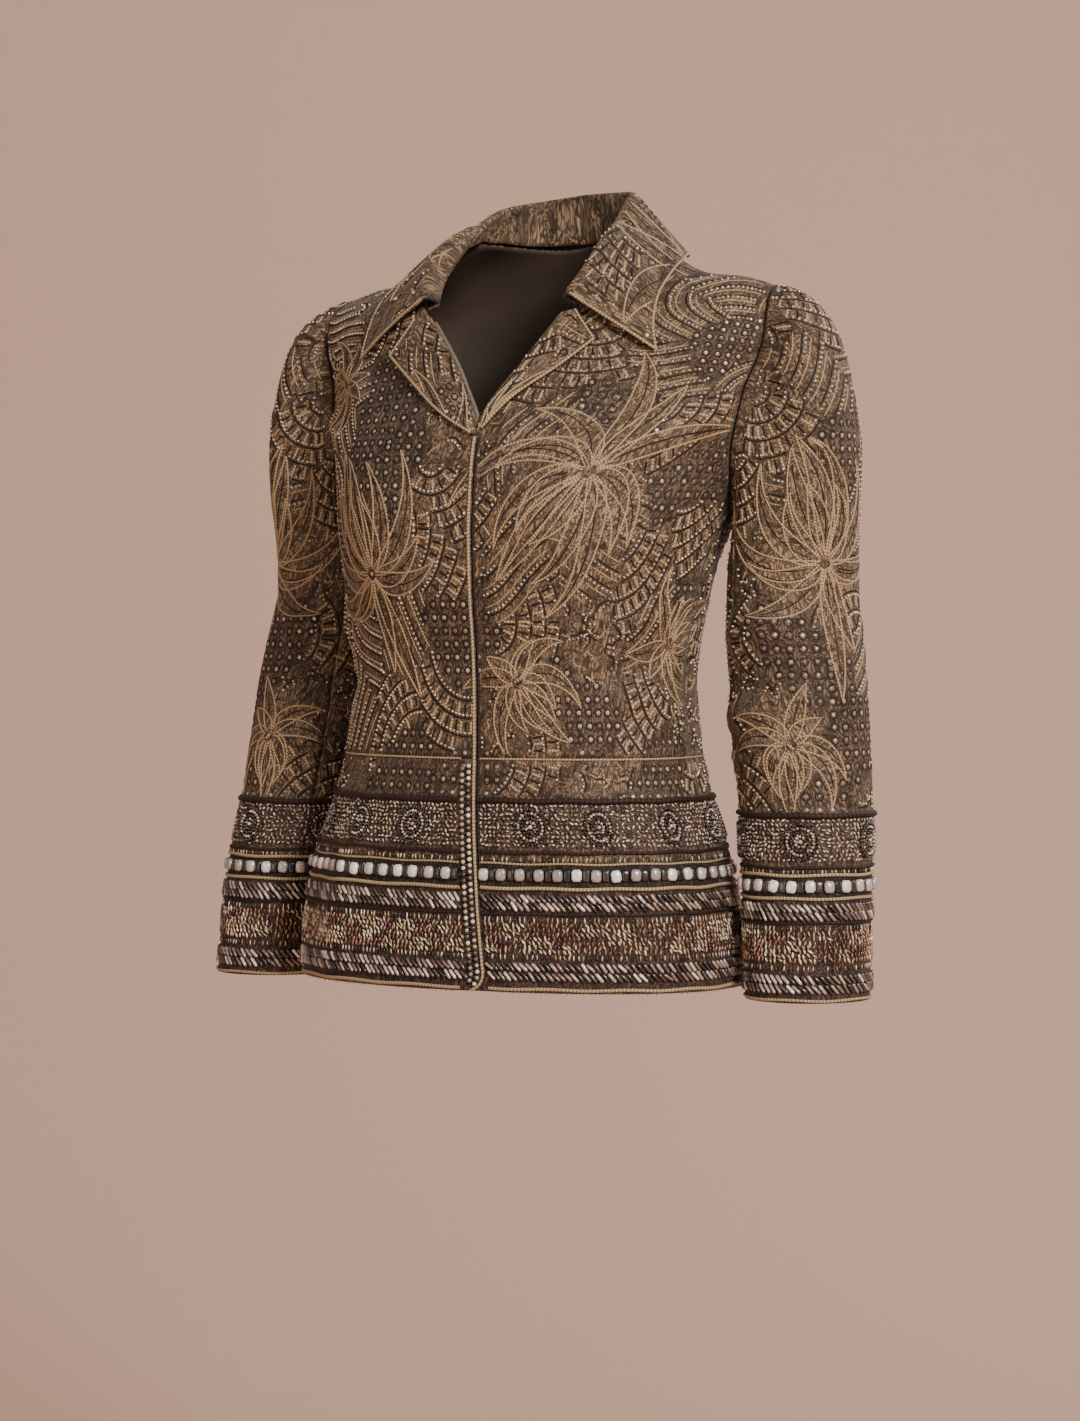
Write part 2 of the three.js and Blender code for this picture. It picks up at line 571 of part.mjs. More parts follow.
// The collar is one folded wall: up the stand, over the roll and down the fall
const FALL_STEPS = 6;
function collarCurve(row) {
  const onBody = (x, climb) => {
    const back = climb > SHOULDER_LEVEL;
    const level = back ? 2 * SHOULDER_LEVEL - climb : climb;
    const angle = angleAt(x, level);
    const turned = back ? Math.PI - angle : angle;
    const here = bodyPoint(turned, level);
    const alongAngle = bodyPoint(turned + 0.01, level).sub(here);
    const alongLevel = here.clone().sub(bodyPoint(turned, level - 0.1));
    return { here, out: alongAngle.cross(alongLevel).normalize() };
  };
  const clear = FALL_GAP + COLLAR_CLOTH;
  const roll = new THREE.Vector3(row.rollX, row.rollY, row.rollZ);
  const foot = onBody(row.neckX, row.neckClimb);
  // The stand carries on from upright cloth, and stands inside the edge of lying cloth
  const lying = fade(foot.out.z, 0.3, 0.55);
  const inward = new THREE.Vector3(-foot.here.x, -foot.here.y, 0).normalize();
  const inside = foot.here.clone().addScaledVector(inward, COLLAR_CLOTH + LAID_GAP);
  inside.z += LAID_GAP;
  const neck = foot.here.addScaledVector(foot.out, -CLOTH);
  const up = roll.clone().sub(neck).normalize();
  neck.addScaledVector(up, STAND_GAP).lerp(inside, lying);
  const rim = onBody(row.edgeX, row.edgeClimb);
  const edge = rim.here.addScaledVector(rim.out, clear);
  const down = edge.clone().sub(roll).normalize();
  const overTop = up.clone().sub(down).normalize();
  const points = [
    neck,
    neck.clone().lerp(roll, 0.6).addScaledVector(down, -1),
    roll.clone().addScaledVector(down, -COLLAR_FOLD),
    roll.clone().addScaledVector(overTop, COLLAR_FOLD),
  ];
  const over = roll.clone().addScaledVector(up, COLLAR_FOLD).addScaledVector(down, COLLAR_FOLD);
  for (let i = 0; i < FALL_STEPS; i += 1) {
    const f = i / FALL_STEPS;
    const { here, out } = onBody(mix(row.neckX, row.edgeX, f), mix(row.neckClimb, row.edgeClimb, f));
    const point = over.clone().lerp(edge, f).addScaledVector(overTop, FALL_BOW * f * (1 - f));
    const height = point.clone().sub(here).dot(out);
    const wanted = clear + FALL_AIR * (1 - f);
    points.push(point.addScaledVector(out, Math.max(wanted - height, 0)));
  }
  points.push(edge);
  return new THREE.CatmullRomCurve3(points, false, 'centripetal');
}

function collarPoint(u, v) {
  const s = (v - 0.5) * 2;
  const row = lookup(COLLAR_STATIONS, 's', Math.abs(s));
  if (s > 0) return collarCurve(row).getPoint(u);
  row.rollZ -= RIGHT_DROP * Math.sin(Math.PI * Math.abs(s));
  const point = collarCurve(row).getPoint(u);
  return point.setX(-point.x);
}

const collar = sheet('collar', COLOURS.collar, {
  surface: collarPoint,
  us: [0, 0.1, 0.2, 0.3, 0.35, 0.4, 0.5, 0.6, 0.7, 0.8, 0.9, 1],
  vs: [0, 0.05, 0.1, 0.15, 0.2, 0.25, 0.31, 0.37, 0.43, 0.5, 0.57, 0.63, 0.69, 0.75, 0.8, 0.85, 0.9, 0.95, 1],
  wall: COLLAR_CLOTH,
});

const blazer = new THREE.Group();
blazer.name = 'beaded_blazer';
blazer.add(
  bodiceFront('front_right', edgeRight, true),
  bodiceFront('front_left', edgeLeft, false),
  bodiceBack,
  peplumFront('peplum_right', edgeRight, true),
  peplumFront('peplum_left', edgeLeft, false),
  peplumBack,
  frontBeads('bead_row_right', edgeRight, 13, true),
  frontBeads('bead_row_left', overEdge, 3.5, false),
  backBeads,
  frontStrip,
  lapel('lapel_right', LAPEL_RIGHT, true),
  lapel('lapel_left', LAPEL_LEFT, false),
  collar,
  ...sleeveSet('left', false),
  ...sleeveSet('right', true),
);

export default blazer;
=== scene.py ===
import math

import bpy
import numpy as np
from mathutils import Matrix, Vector


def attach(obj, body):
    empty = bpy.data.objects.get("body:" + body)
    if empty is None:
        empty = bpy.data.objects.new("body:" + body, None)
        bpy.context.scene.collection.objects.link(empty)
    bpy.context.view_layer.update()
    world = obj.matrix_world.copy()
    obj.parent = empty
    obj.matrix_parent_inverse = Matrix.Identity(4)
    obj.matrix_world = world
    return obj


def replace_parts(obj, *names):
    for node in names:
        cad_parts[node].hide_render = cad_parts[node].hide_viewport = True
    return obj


# %% [markdown]
# A fitted evening blazer, worn. Its cloth is embroidered all over with couched cord
# and dark stitching, and its hem and cuffs carry deep borders of beads.
# Each cut piece is built as a thin closed wall on the same rings as its solid, then the
# cords, piping and beads are laid on that wall as real small shapes.
# Lengths in the tables are millimetres, and meshes are made in metres.

# %% Load the frame
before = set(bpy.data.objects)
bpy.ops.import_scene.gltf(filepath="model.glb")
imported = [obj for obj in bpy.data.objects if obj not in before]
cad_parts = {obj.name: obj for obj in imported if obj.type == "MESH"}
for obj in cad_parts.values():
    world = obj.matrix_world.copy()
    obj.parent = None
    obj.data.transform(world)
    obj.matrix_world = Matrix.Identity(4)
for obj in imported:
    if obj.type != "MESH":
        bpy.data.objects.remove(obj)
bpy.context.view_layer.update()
MM = 0.001
rng = np.random.default_rng(7)

# %% [markdown]
# The body is described by rings from hem to shoulder. A ring is a rounded oval whose
# front and back have different depths, and it falls away towards the shoulder ends.
# The same table shapes the solids, so the visible cloth lies on them apart from creases.

# %% Body rings
RING_NAMES = ("z", "slope", "half", "front", "back", "side", "round", "arm_front", "arm_back")
BODY_RINGS = dict(zip(RING_NAMES, np.array([
    # z, slope, half, front, back, side, round, arm_front, arm_back
    (-536, 0.00, 167, -164, 50, -56, 0.85, 90, 90),
    (-500, 0.00, 164, -162, 48, -56, 0.85, 90, 90),
    (-442, 0.00, 153, -156, 43, -56, 0.85, 90, 90),
    (-406, 0.00, 142, -151, 38, -56, 0.85, 90, 90),
    (-375, 0.00, 134, -147, 35, -55, 0.85, 90, 90),
    (-324, 0.00, 127, -147, 37, -52, 0.85, 90, 90),
    (-294, 0.00, 129, -150, 40, -50, 0.85, 90, 90),
    (-265, 0.00, 133, -155, 45, -46, 0.82, 90, 90),
    (-230, 0.00, 139, -158, 52, -36, 0.80, 90, 90),
    (-203, 0.00, 147, -158, 58, -20, 0.82, 90, 90),
    (-160, 0.00, 162, -151, 64, -18, 1.10, 77, 77),
    (-130, 0.03, 174, -137, 66, -16, 1.35, 70, 71),
    (-100, 0.08, 180, -120, 66, -14, 1.50, 68, 66),
    (-70, 0.15, 185, -107, 66, -12, 1.50, 69, 62),
    (-40, 0.22, 190, -94, 62, -10, 1.35, 69, 60),
    (-12, 0.29, 195, -72, 54, -6, 1.20, 66, 60),
    (12, 0.35, 198, -36, 34, -2, 1.20, 62, 60),
    (24, 0.38, 199, 0, 0, 0, 1.20, 60, 60),
], dtype=float).T))
BUST = {"x": 78, "z": -205, "out": 10, "spread_x": 40, "spread_z": 48}
DIP = {"x": 114, "width": 28, "deep": 26}
RIGHT_EDGE = {"z": (-536, -460, -375, -203, -151), "x": (28, 18, 11, 13, 12)}
LEFT_NECK = {"z": (-151, -135, -112, -88, -62, -40, -10, 24), "x": (12, 13, 24, 35, 48, 64, 70, 68)}
RIGHT_NECK = {"z": (-151, -135, -118, -98, -80, -62, -40, -10, 24),
              "x": (-12, -7, 5, 20, 34, 48, 64, 70, 68)}
SHOULDER, ARMPIT, BREAK, WAIST, HEM = 24, -203, -151, -375, -536
CORNER_RADIUS = 14
CLOTH = 2.2
UNDERLAP = {"inset": 2.9, "width": 26, "fade": 20}


def unit(vector):
    return vector / np.maximum(np.linalg.norm(vector, axis=-1, keepdims=True), 1e-9)


def run_of(points):
    """Distance of each point of a polyline from its first one."""
    return np.concatenate([[0], np.cumsum(np.linalg.norm(np.diff(points, axis=0), axis=1))])


def smooth_column(keys, values, at):
    """A smooth curve through a table's column, read at many places at once."""
    keys, values = np.asarray(keys, float), np.asarray(values, float)
    order = np.argsort(keys)
    keys, values = keys[order], values[order]
    at = np.asarray(at, float)
    i = np.clip(np.searchsorted(keys, at, side="right") - 1, 0, len(keys) - 2)
    before, after = np.maximum(i - 1, 0), np.minimum(i + 2, len(keys) - 1)
    span = keys[i + 1] - keys[i]
    f = np.clip((at - keys[i]) / span, 0, 1)
    slope_a = (values[i + 1] - values[before]) / (keys[i + 1] - keys[before]) * span
    slope_b = (values[after] - values[i]) / (keys[after] - keys[i]) * span
    return ((2 * f**3 - 3 * f**2 + 1) * values[i] + (f**3 - 2 * f**2 + f) * slope_a
            + (3 * f**2 - 2 * f**3) * values[i + 1] + (f**3 - f**2) * slope_b)


def ring_column(name, level):
    return smooth_column(BODY_RINGS["z"], BODY_RINGS[name], level)


def smooth_step(x, low, high):
    f = np.clip((np.asarray(x, float) - low) / (high - low), 0, 1)
    return f * f * (3 - 2 * f)


def fall_at(x):
    return np.abs(x) + DIP["deep"] * np.exp(-((np.abs(x) - DIP["x"]) / DIP["width"])**2)


def body_point(angle, level):
    """Points of the body: angle 0 is centre front, a quarter turn is the left side."""
    angle, level = np.broadcast_arrays(np.asarray(angle, float), np.asarray(level, float))
    side = ring_column("side", level)
    x = ring_column("half", level) * np.sin(angle)
    front = np.cos(angle) > 0
    reach = np.where(front, ring_column("front", level), ring_column("back", level)) - side
    y = side + reach * np.abs(np.cos(angle))**ring_column("round", level)
    z = level - ring_column("slope", level) * fall_at(x)
    dx, dz = (np.abs(x) - BUST["x"]) / BUST["spread_x"], (z - BUST["z"]) / BUST["spread_z"]
    y = y - np.where(front, BUST["out"] * np.exp(-dx**2 - dz**2), 0)
    return np.stack([x, y, z], -1)


def angle_at(x, level):
    return np.arcsin(np.clip(np.asarray(x, float) / ring_column("half", level), -1, 1))


def level_through(x, z):
    level = np.asarray(z, float)
    for _ in range(8):
        level = z + ring_column("slope", level) * fall_at(x)
    return level


def normals(surface, u, v, nudge=1e-3):
    """Outward directions of a surface that takes arrays of u and v."""
    along_u = surface(u + nudge, v) - surface(u - nudge, v)
    along_v = surface(u, v + nudge) - surface(u, v - nudge)
    return unit(np.cross(along_u, along_v))


NARROWEST = -324.0
waist_line = body_point(np.linspace(0, 2 * np.pi, 200), NARROWEST)
print("waist round, mm:", round(float(run_of(waist_line)[-1])))

# %% [markdown]
# Every panel has a flat coordinate pair, (across, up), as it has on the cutting table.
# Across the body it is the angle times a fixed radius, so that one motif table can be
# laid over both fronts and the back without a jump at the side seams.
# Soft creases come from this same map, so whatever is sewn on follows them.

# %% Flat coordinates to the worn surface
FLAT_RADIUS = 150
CREASE_DEPTH = 2.1
CREASES = {
    # panel: rows of (across, up) to (across, up), width, height before CREASE_DEPTH
    "body": (
        ((150, -52), (62, -128), 16, 2.6), ((136, -78), (70, -150), 12, -1.6),
        ((175, -120), (112, -168), 15, 2.2), ((188, -150), (128, -190), 11, -1.4),
        ((-150, -60), (-80, -120), 16, 2.0), ((-178, -118), (-120, -170), 14, 2.0),
        ((226, -262), (120, -292), 12, 1.8), ((230, -300), (110, -318), 10, -1.5),
        ((228, -345), (130, -330), 12, 1.7), ((-226, -270), (-110, -300), 12, 1.6),
        ((-230, -322), (-130, -326), 10, -1.4), ((60, -330), (20, -300), 12, 1.2),
        ((300, -300), (420, -318), 13, 1.8), ((-300, -306), (-420, -322), 13, 1.6),
        ((310, -340), (440, -334), 11, -1.4), ((-330, -344), (-450, -330), 11, 1.4),
        ((330, -110), (400, -170), 18, 1.8), ((-330, -100), (-395, -165), 18, 1.8),
        ((150, -420), (162, -536), 20, 2.0), ((-92, -410), (-104, -536), 22, 2.2),
        ((66, -420), (60, -536), 24, -1.6), ((-180, -420), (-190, -536), 22, 1.8),
        ((330, -410), (345, -536), 24, 2.2), ((-350, -410), (-362, -536), 24, 2.2),
        ((460, -410), (455, -536), 26, -1.8),
    ),
    "sleeve": (
        ((60, -8), (118, -40), 13, 2.4), ((52, -40), (120, -66), 11, -2.0),
        ((72, -72), (132, -92), 13, 2.4), ((64, -110), (128, -112), 12, 2.0),
        ((-100, -20), (-40, -70), 14, 1.8), ((-110, -82), (-50, -104), 12, 1.6),
        ((20, 150), (60, 40), 18, 2.0), ((-26, 140), (-58, 46), 18, 1.8),
        ((0, 60), (20, -60), 22, -1.6), ((30, -150), (24, -262), 20, 1.4),
    ),
}
SLEEVE_RADIUS = 47
# On the texture plane the two sleeves lie this far to either side of the body
APART = 700
ROUND ={"body": 2 * np.pi * FLAT_RADIUS, "sleeve": 2 * np.pi * SLEEVE_RADIUS}


def wrapped(kind, across):
    """Distance across the flat cloth, taken the short way round the body or the arm."""
    whole = ROUND[kind]
    return np.mod(across + whole / 2, whole) - whole / 2


def crease_height(kind, across, up):
    """Height of the creases here, in mm: each is a soft ridge or trough along a line."""
    total = np.zeros(np.broadcast(across, up).shape)
    for (a0, h0), (a1, h1), width, height in CREASES[kind]:
        da, dh = a1 - a0, h1 - h0
        length = math.hypot(da, dh)
        near = wrapped(kind, across - a0)
        along = np.clip((near * da + (up - h0) * dh) / length**2, -0.15, 1.15)
        off = (near * dh - (up - h0) * da) / length
        wander = 0.25 * width * np.sin(along * 5 + a0)
        fade_out = np.exp(-((along - 0.5) / 0.42)**4)
        total = total + CREASE_DEPTH * height * fade_out * np.exp(-((off + wander) / width)**2)
    return total


def over_edge(level):
    return smooth_column(RIGHT_EDGE["z"], RIGHT_EDGE["x"], level)


def corner_cut(level):
    drop = np.clip(HEM + CORNER_RADIUS - level, 0, CORNER_RADIUS)
    return CORNER_RADIUS - np.sqrt(CORNER_RADIUS**2 - drop**2)


def right_edge_x(level):
    """x of the right front's free edge: the closure, then the roll line and the neck."""
    level = np.asarray(level, float)
    neck = -smooth_column(RIGHT_NECK["z"], RIGHT_NECK["x"], level)
    return np.where(level > BREAK, neck, over_edge(level) - corner_cut(level))


def left_edge_x(level):
    level = np.asarray(level, float)
    neck = smooth_column(LEFT_NECK["z"], LEFT_NECK["x"], level)
    under = UNDERLAP["width"] * (1 - smooth_step(level, BREAK, BREAK + UNDERLAP["width"]))
    return np.where(level > BREAK, neck, over_edge(level)) - under


def arm_angle(level, name):
    return np.radians(np.minimum(ring_column(name, level), 90))


def underlap_lift(x, level):
    level = np.asarray(level, float)
    start = np.where(level > BREAK, smooth_column(LEFT_NECK["z"], LEFT_NECK["x"], level), over_edge(level))
    return -UNDERLAP["inset"] * (1 - smooth_step(x, start + 2, start + UNDERLAP["fade"]))


def body_flat(across, up):
    return body_point(np.asarray(across, float) / FLAT_RADIUS, up)


def on_body(across, up, lift=0.0, left=False):
    """Worn points and outward directions for flat body coordinates."""
    across, up = np.broadcast_arrays(np.asarray(across, float), np.asarray(up, float))
    base, out = body_flat(across, up), normals(body_flat, across, up, 0.05)
    height = lift + crease_height("body", across, up)
    if left:
        height = height + underlap_lift(base[..., 0], up)
    return base + out * np.asarray(height)[..., None], out


SLEEVE_RINGS = {"z": (-542, -478, -414, -370, -300, -262), "x": (217.5, 212, 206, 200.5, 192, 187),
                "y": (-41, -30, -18, -13, -5, 0), "radius": (43.5, 45, 47, 48, 48.5, 47)}
CAP_END = -262
CAP = {"top_out": 66, "side_out": 16, "top_up": 128, "under_up": 30, "gap": 0.8}


def sleeve_ring(theta, z):
    x, y, radius = (smooth_column(SLEEVE_RINGS["z"], SLEEVE_RINGS[name], z) for name in ("x", "y", "radius"))
    return np.stack([x + radius * np.cos(theta), y - radius * np.sin(theta), z + 0 * theta], -1)


def armhole_point(theta):
    level = SHOULDER + (ARMPIT - SHOULDER) * (1 - np.cos(theta)) / 2
    front = np.mod(theta, 2 * np.pi) <= np.pi
    angle = np.where(front, arm_angle(level, "arm_front"), np.pi - arm_angle(level, "arm_back"))
    return body_point(angle, level)


def cap_point(theta, t):
    """The sleeve cap's curve from the upper arm (t = 0) to the armhole (t = 1)."""
    cos, sin = np.cos(theta), np.sin(theta)
    top, under = np.maximum(cos, 0), np.maximum(-cos, 0)
    out = unit(np.stack([np.ones_like(cos), -0.45 * sin, -0.12 * top - 0.1 * under], -1))
    p3 = armhole_point(theta) + out * CAP["gap"]
    p0 = sleeve_ring(theta, np.full_like(theta, CAP_END))
    reach_out = CAP["side_out"] + (CAP["top_out"] - CAP["side_out"]) * top - 5 * under
    reach_up = CAP["under_up"] + (CAP["top_up"] - CAP["under_up"]) * (1 + cos) / 2
    p1 = p0 + np.stack([0 * cos, 0 * cos, reach_up], -1)
    p2 = p3 + out * reach_out[..., None]
    t = t[..., None]
    return (1 - t)**3 * p0 + 3 * t * (1 - t)**2 * p1 + 3 * t**2 * (1 - t) * p2 + t**3 * p3


# The cap is read by true distance up it, so tables turn distance into the curve's own t
CAP_TURNS, CAP_STEPS = 180, 120
cap_turns = np.linspace(0, 2 * np.pi, CAP_TURNS + 1)
cap_steps = np.linspace(0, 1, CAP_STEPS + 1)
cap_grid = cap_point(*np.meshgrid(cap_turns, cap_steps, indexing="ij"))
cap_pieces = np.linalg.norm(np.diff(cap_grid, axis=1), axis=2)
cap_run = np.concatenate([np.zeros((CAP_TURNS + 1, 1)), np.cumsum(cap_pieces, axis=1)], 1)
CAP_LENGTHS = cap_run[:, -1]
CAP_TABLE = np.stack([np.interp(cap_steps * row[-1], row, cap_steps) for row in cap_run])
print("sleeve cap is", round(CAP_LENGTHS.min()), "to", round(CAP_LENGTHS.max()), "mm deep")


def cap_length(across):
    return np.interp(np.mod(np.asarray(across, float) / SLEEVE_RADIUS, 2 * np.pi), cap_turns, CAP_LENGTHS)


def sleeve_flat(across, up):
    """up is 0 where the cap begins, negative down the arm, and grows up the cap in mm."""
    across, up = np.broadcast_arrays(np.asarray(across, float), np.asarray(up, float))
    theta = across / SLEEVE_RADIUS
    i = np.mod(theta, 2 * np.pi) / (2 * np.pi) * (CAP_TURNS - 0.0001)
    j = np.clip(up / cap_length(across), 0, 0.99999) * CAP_STEPS
    i0, j0 = i.astype(int), j.astype(int)
    fi, fj = i - i0, j - j0
    t = ((CAP_TABLE[i0, j0] * (1 - fi) + CAP_TABLE[i0 + 1, j0] * fi) * (1 - fj)
         + (CAP_TABLE[i0, j0 + 1] * (1 - fi) + CAP_TABLE[i0 + 1, j0 + 1] * fi) * fj)
    t = np.where(up >= cap_length(across), 1.0, t)
    below = sleeve_ring(theta, CAP_END + np.minimum(up, 0))
    return np.where(up[..., None] > 0, cap_point(theta, t), below)


def on_sleeve(across, up, lift=0.0, side=1):
    """Worn points and outward directions for flat sleeve coordinates, side -1 is the right."""
    across, up = np.broadcast_arrays(np.asarray(across, float), np.asarray(up, float))
    base = sleeve_flat(across, up)
    out = -normals(sleeve_flat, across, np.minimum(up, cap_length(across) - 0.3), 0.2)
    fade_out = smooth_step(cap_length(across) - up, 0, 30)
    points = base + out * (np.asarray(lift) + crease_height("sleeve", across, up) * fade_out)[..., None]
    flip = np.array([side, 1, 1])
    return points * flip, out * flip


# %% [markdown]
# A panel of cloth is a closed wall: an outer grid, an inner grid one cloth thickness
# inside it, and rims. The grids are fine enough to carry the creases and the colour of
# the stitched fields, which is stored on the vertices.

# %% Mesh helpers
materials = {}


def new_mesh(name, points, faces, material, uv, colours):
    """A smooth mesh object from points and UVs in mm and vertex colours."""
    mesh = bpy.data.meshes.new(name)
    mesh.from_pydata(np.asarray(points) * MM, [], faces if isinstance(faces, list) else faces.tolist())
    mesh.polygons.foreach_set("use_smooth", [True] * len(mesh.polygons))
    layer = mesh.uv_layers.new(name="flat")
    loops = np.empty(len(mesh.loops), dtype=np.int32)
    mesh.loops.foreach_get("vertex_index", loops)
    layer.data.foreach_set("uv", (np.asarray(uv)[loops] * MM).ravel())
    attribute = mesh.color_attributes.new("tint", "FLOAT_COLOR", "POINT")
    rgba = np.concatenate([np.asarray(colours), np.ones((len(colours), 1))], axis=1)
    attribute.data.foreach_set("color", rgba.ravel())
    mesh.materials.append(materials[material])
    mesh.update()
    piece = bpy.data.objects.new(name, mesh)
    bpy.context.scene.collection.objects.link(piece)
    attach(piece, "root")
    return piece


def grid_faces(columns, rows, start=0, flip=False):
    i, j = np.meshgrid(np.arange(columns - 1), np.arange(rows - 1))
    a = start + (j * columns + i).ravel()
    quads = np.stack([a, a + 1, a + columns + 1, a + columns], 1)
    return quads[:, ::-1] if flip else quads


def wall(name, outer, inner, uv, colours, flip=False):
    """A closed wall from an outer and an inner grid of points, embroidered outside and lined."""
    rows, columns = outer.shape[:2]
    count = rows * columns
    border = np.concatenate([
        np.arange(columns), np.arange(1, rows) * columns + columns - 1,
        (rows - 1) * columns + np.arange(columns - 2, -1, -1), np.arange(rows - 2, 0, -1) * columns])
    after = np.roll(border, -1)
    rim = np.stack([border, border + count, after + count, after], 1)
    faces = np.concatenate([grid_faces(columns, rows), grid_faces(columns, rows, count, True), rim])
    points = np.concatenate([outer.reshape(-1, 3), inner.reshape(-1, 3)])
    both = lambda values: np.concatenate([values.reshape(count, -1)] * 2)
    piece = new_mesh(name, points, faces[:, ::-1] if flip else faces, "embroidered cloth",
                     both(uv), both(colours))
    piece.data.materials.append(materials["lining"])
    quads = (rows - 1) * (columns - 1)
    numbers = np.zeros(len(piece.data.polygons), dtype=np.int32)
    numbers[quads:2 * quads] = 1
    piece.data.polygons.foreach_set("material_index", numbers)
    return piece


# %% [markdown]
# The embroidery is laid out as a patchwork. Points scattered over the flat cloth own the
# area nearest to them, with wavy borders, and each area is filled in one way: rows of
# bars between dark arcs, a grid of ring dots, flowing lines, or small meanders. Large
# curved-petal blooms lie over the patchwork. The layout is this script's own.

# %% Patchwork of stitched fields
KINDS = ("bars", "dots", "flow", "meander")
FIELD_SPACING = 58
ROW_SHARE = 0.86
PETAL_TINT = (0.235, 0.155, 0.090)
FIELD_TINT = {
    "bars": (0.225, 0.148, 0.087), "dots": (0.135, 0.088, 0.055),
    "flow": (0.210, 0.139, 0.082), "meander": (0.190, 0.127, 0.076),
}


def scatter_fields(width, low, high, seed):
    """Field centres on a loose hexagonal grid: across, up, kind, turn and reach."""
    pick = np.random.default_rng(seed)
    rows = []
    row_count = int((high - low) / (FIELD_SPACING * ROW_SHARE)) + 1
    for j in range(row_count):
        for i in range(int(width / FIELD_SPACING)):
            across = -width / 2 + (i + 0.5 * (j % 2) + 0.25) * FIELD_SPACING + pick.normal(0, 9)
            up = low + (j + 0.3) * FIELD_SPACING * ROW_SHARE + pick.normal(0, 8)
            kind = (i * 3 + j * 2 + int(pick.integers(0, 2))) % len(KINDS)
            rows.append((across, up, kind, pick.uniform(0, 2 * np.pi), pick.uniform(34, 60)))
    return np.array(rows)


FIELDS = {"body": scatter_fields(942, -404, 60, 11), "sleeve": scatter_fields(296, -152, 230, 23)}
BLOOMS = {
    # across, up, radius, petals, curl, turn, petal half-width
    "body": np.array([
        (96, -176, 106, 15, 0.8, 0.9, 8.5), (-84, -246, 98, 15, -0.8, 1.9, 8.5),
        (52, -322, 60, 11, 0.8, 2.4, 7), (-128, -96, 62, 11, 0.7, 0.2, 7),
        (330, -150, 106, 15, -0.8, 0.5, 8.5), (-350, -250, 100, 15, 0.8, 0.9, 8.5),
        (455, -60, 72, 12, 0.8, 1.5, 7.5), (208, -296, 62, 11, -0.8, 0.4, 7),
        (-225, -300, 62, 11, 0.8, 1.1, 7), (440, -330, 72, 12, -0.9, 2.4, 7.5),
    ]),
    "sleeve": np.array([
        (30, 24, 98, 15, -0.8, 1.3, 8.5), (-66, -66, 62, 11, 0.8, 0.2, 7),
        (62, -104, 54, 11, 0.8, 1.6, 6.5), (-72, 120, 66, 11, -0.8, 1.1, 7),
    ]),
}


def field_of(kind, across, up):
    """Which field owns each point, and how much nearer it is than the next one."""
    fields = FIELDS[kind]
    a = across + 9 * np.sin(up / 17.0) + 4 * np.sin(up / 7.3 + 1)
    h = up + 9 * np.sin(across / 19.0 + 0.6) + 4 * np.cos(across / 8.1)
    distance = np.hypot(wrapped(kind, a[..., None] - fields[:, 0]), h[..., None] - fields[:, 1])
    order = np.partition(distance, 1, axis=-1)
    return distance.argmin(-1), order[..., 1] - order[..., 0]


def petals_of(bloom):
    """Each petal's direction, curl and length: they droop away from the bloom's axis."""
    _, h0, radius, count, curl, turn, _ = bloom
    k = np.arange(int(count))
    angle = turn + k * 2 * np.pi / count + 0.14 * np.sin(k * 2.7 + turn)
    bend = curl * np.sin(angle - turn) * 1.15
    length = radius * (0.78 + 0.22 * np.sin(k * 1.9 + h0))
    return angle, bend, length


def petal_depth(kind, bloom, across, up):
    """Above 0 inside a petal of the bloom, 1 on its spine."""
    a0, h0, *_, half = bloom
    near = wrapped(kind, across - a0)
    r, direction = np.hypot(near, up - h0), np.arctan2(up - h0, near)
    depth = np.full(r.shape, -1.0)
    for angle, bend, length in zip(*petals_of(bloom)):
        f = np.clip(r / length, 0, 1)
        off = (np.mod(direction - angle - bend * f**1.3 + np.pi, 2 * np.pi) - np.pi) * np.maximum(r, 1)
        width = half * np.sin(np.pi * f**0.8) * 1.02
        here = np.where((r < length) & (r > 4), 1 - np.abs(off) / np.maximum(width, 0.01), -1)
        depth = np.maximum(depth, here)
    return depth


def bloom_depth(kind, across, up):
    depth = np.full(np.broadcast(across, up).shape, -1.0)
    for bloom in BLOOMS[kind]:
        depth = np.maximum(depth, petal_depth(kind, bloom, across, up))
    return depth


def cloth_tint(kind, across, up):
    """Base colour of the stitched cloth on a panel's vertices."""
    owner, margin = field_of(kind, across, up)
    kinds = FIELDS[kind][owner, 2].astype(int)
    tint = np.array([FIELD_TINT[name] for name in KINDS])[kinds]
    seam = np.exp(-(margin / 5.0)**2)[..., None]
    tint = tint * (1 - 0.45 * seam)
    petal = smooth_step(bloom_depth(kind, across, up), 0.0, 0.25)[..., None]
    return tint * (1 - petal) + np.array(PETAL_TINT) * petal


# %% [markdown]
# Lines of couched cord and stitching are flat curves that are cut where they leave their
# field or their panel. Each run that is left becomes a low cord in a later step.

# %% Lines of embroidery
def runs(points, keep, shortest=3):
    """Splits a polyline into the runs whose points are all kept."""
    kept = np.flatnonzero(keep)
    if len(kept) < shortest:
        return []
    pieces = np.split(kept, np.flatnonzero(np.diff(kept) > 1) + 1)
    return [points[piece] for piece in pieces if len(piece) >= shortest]


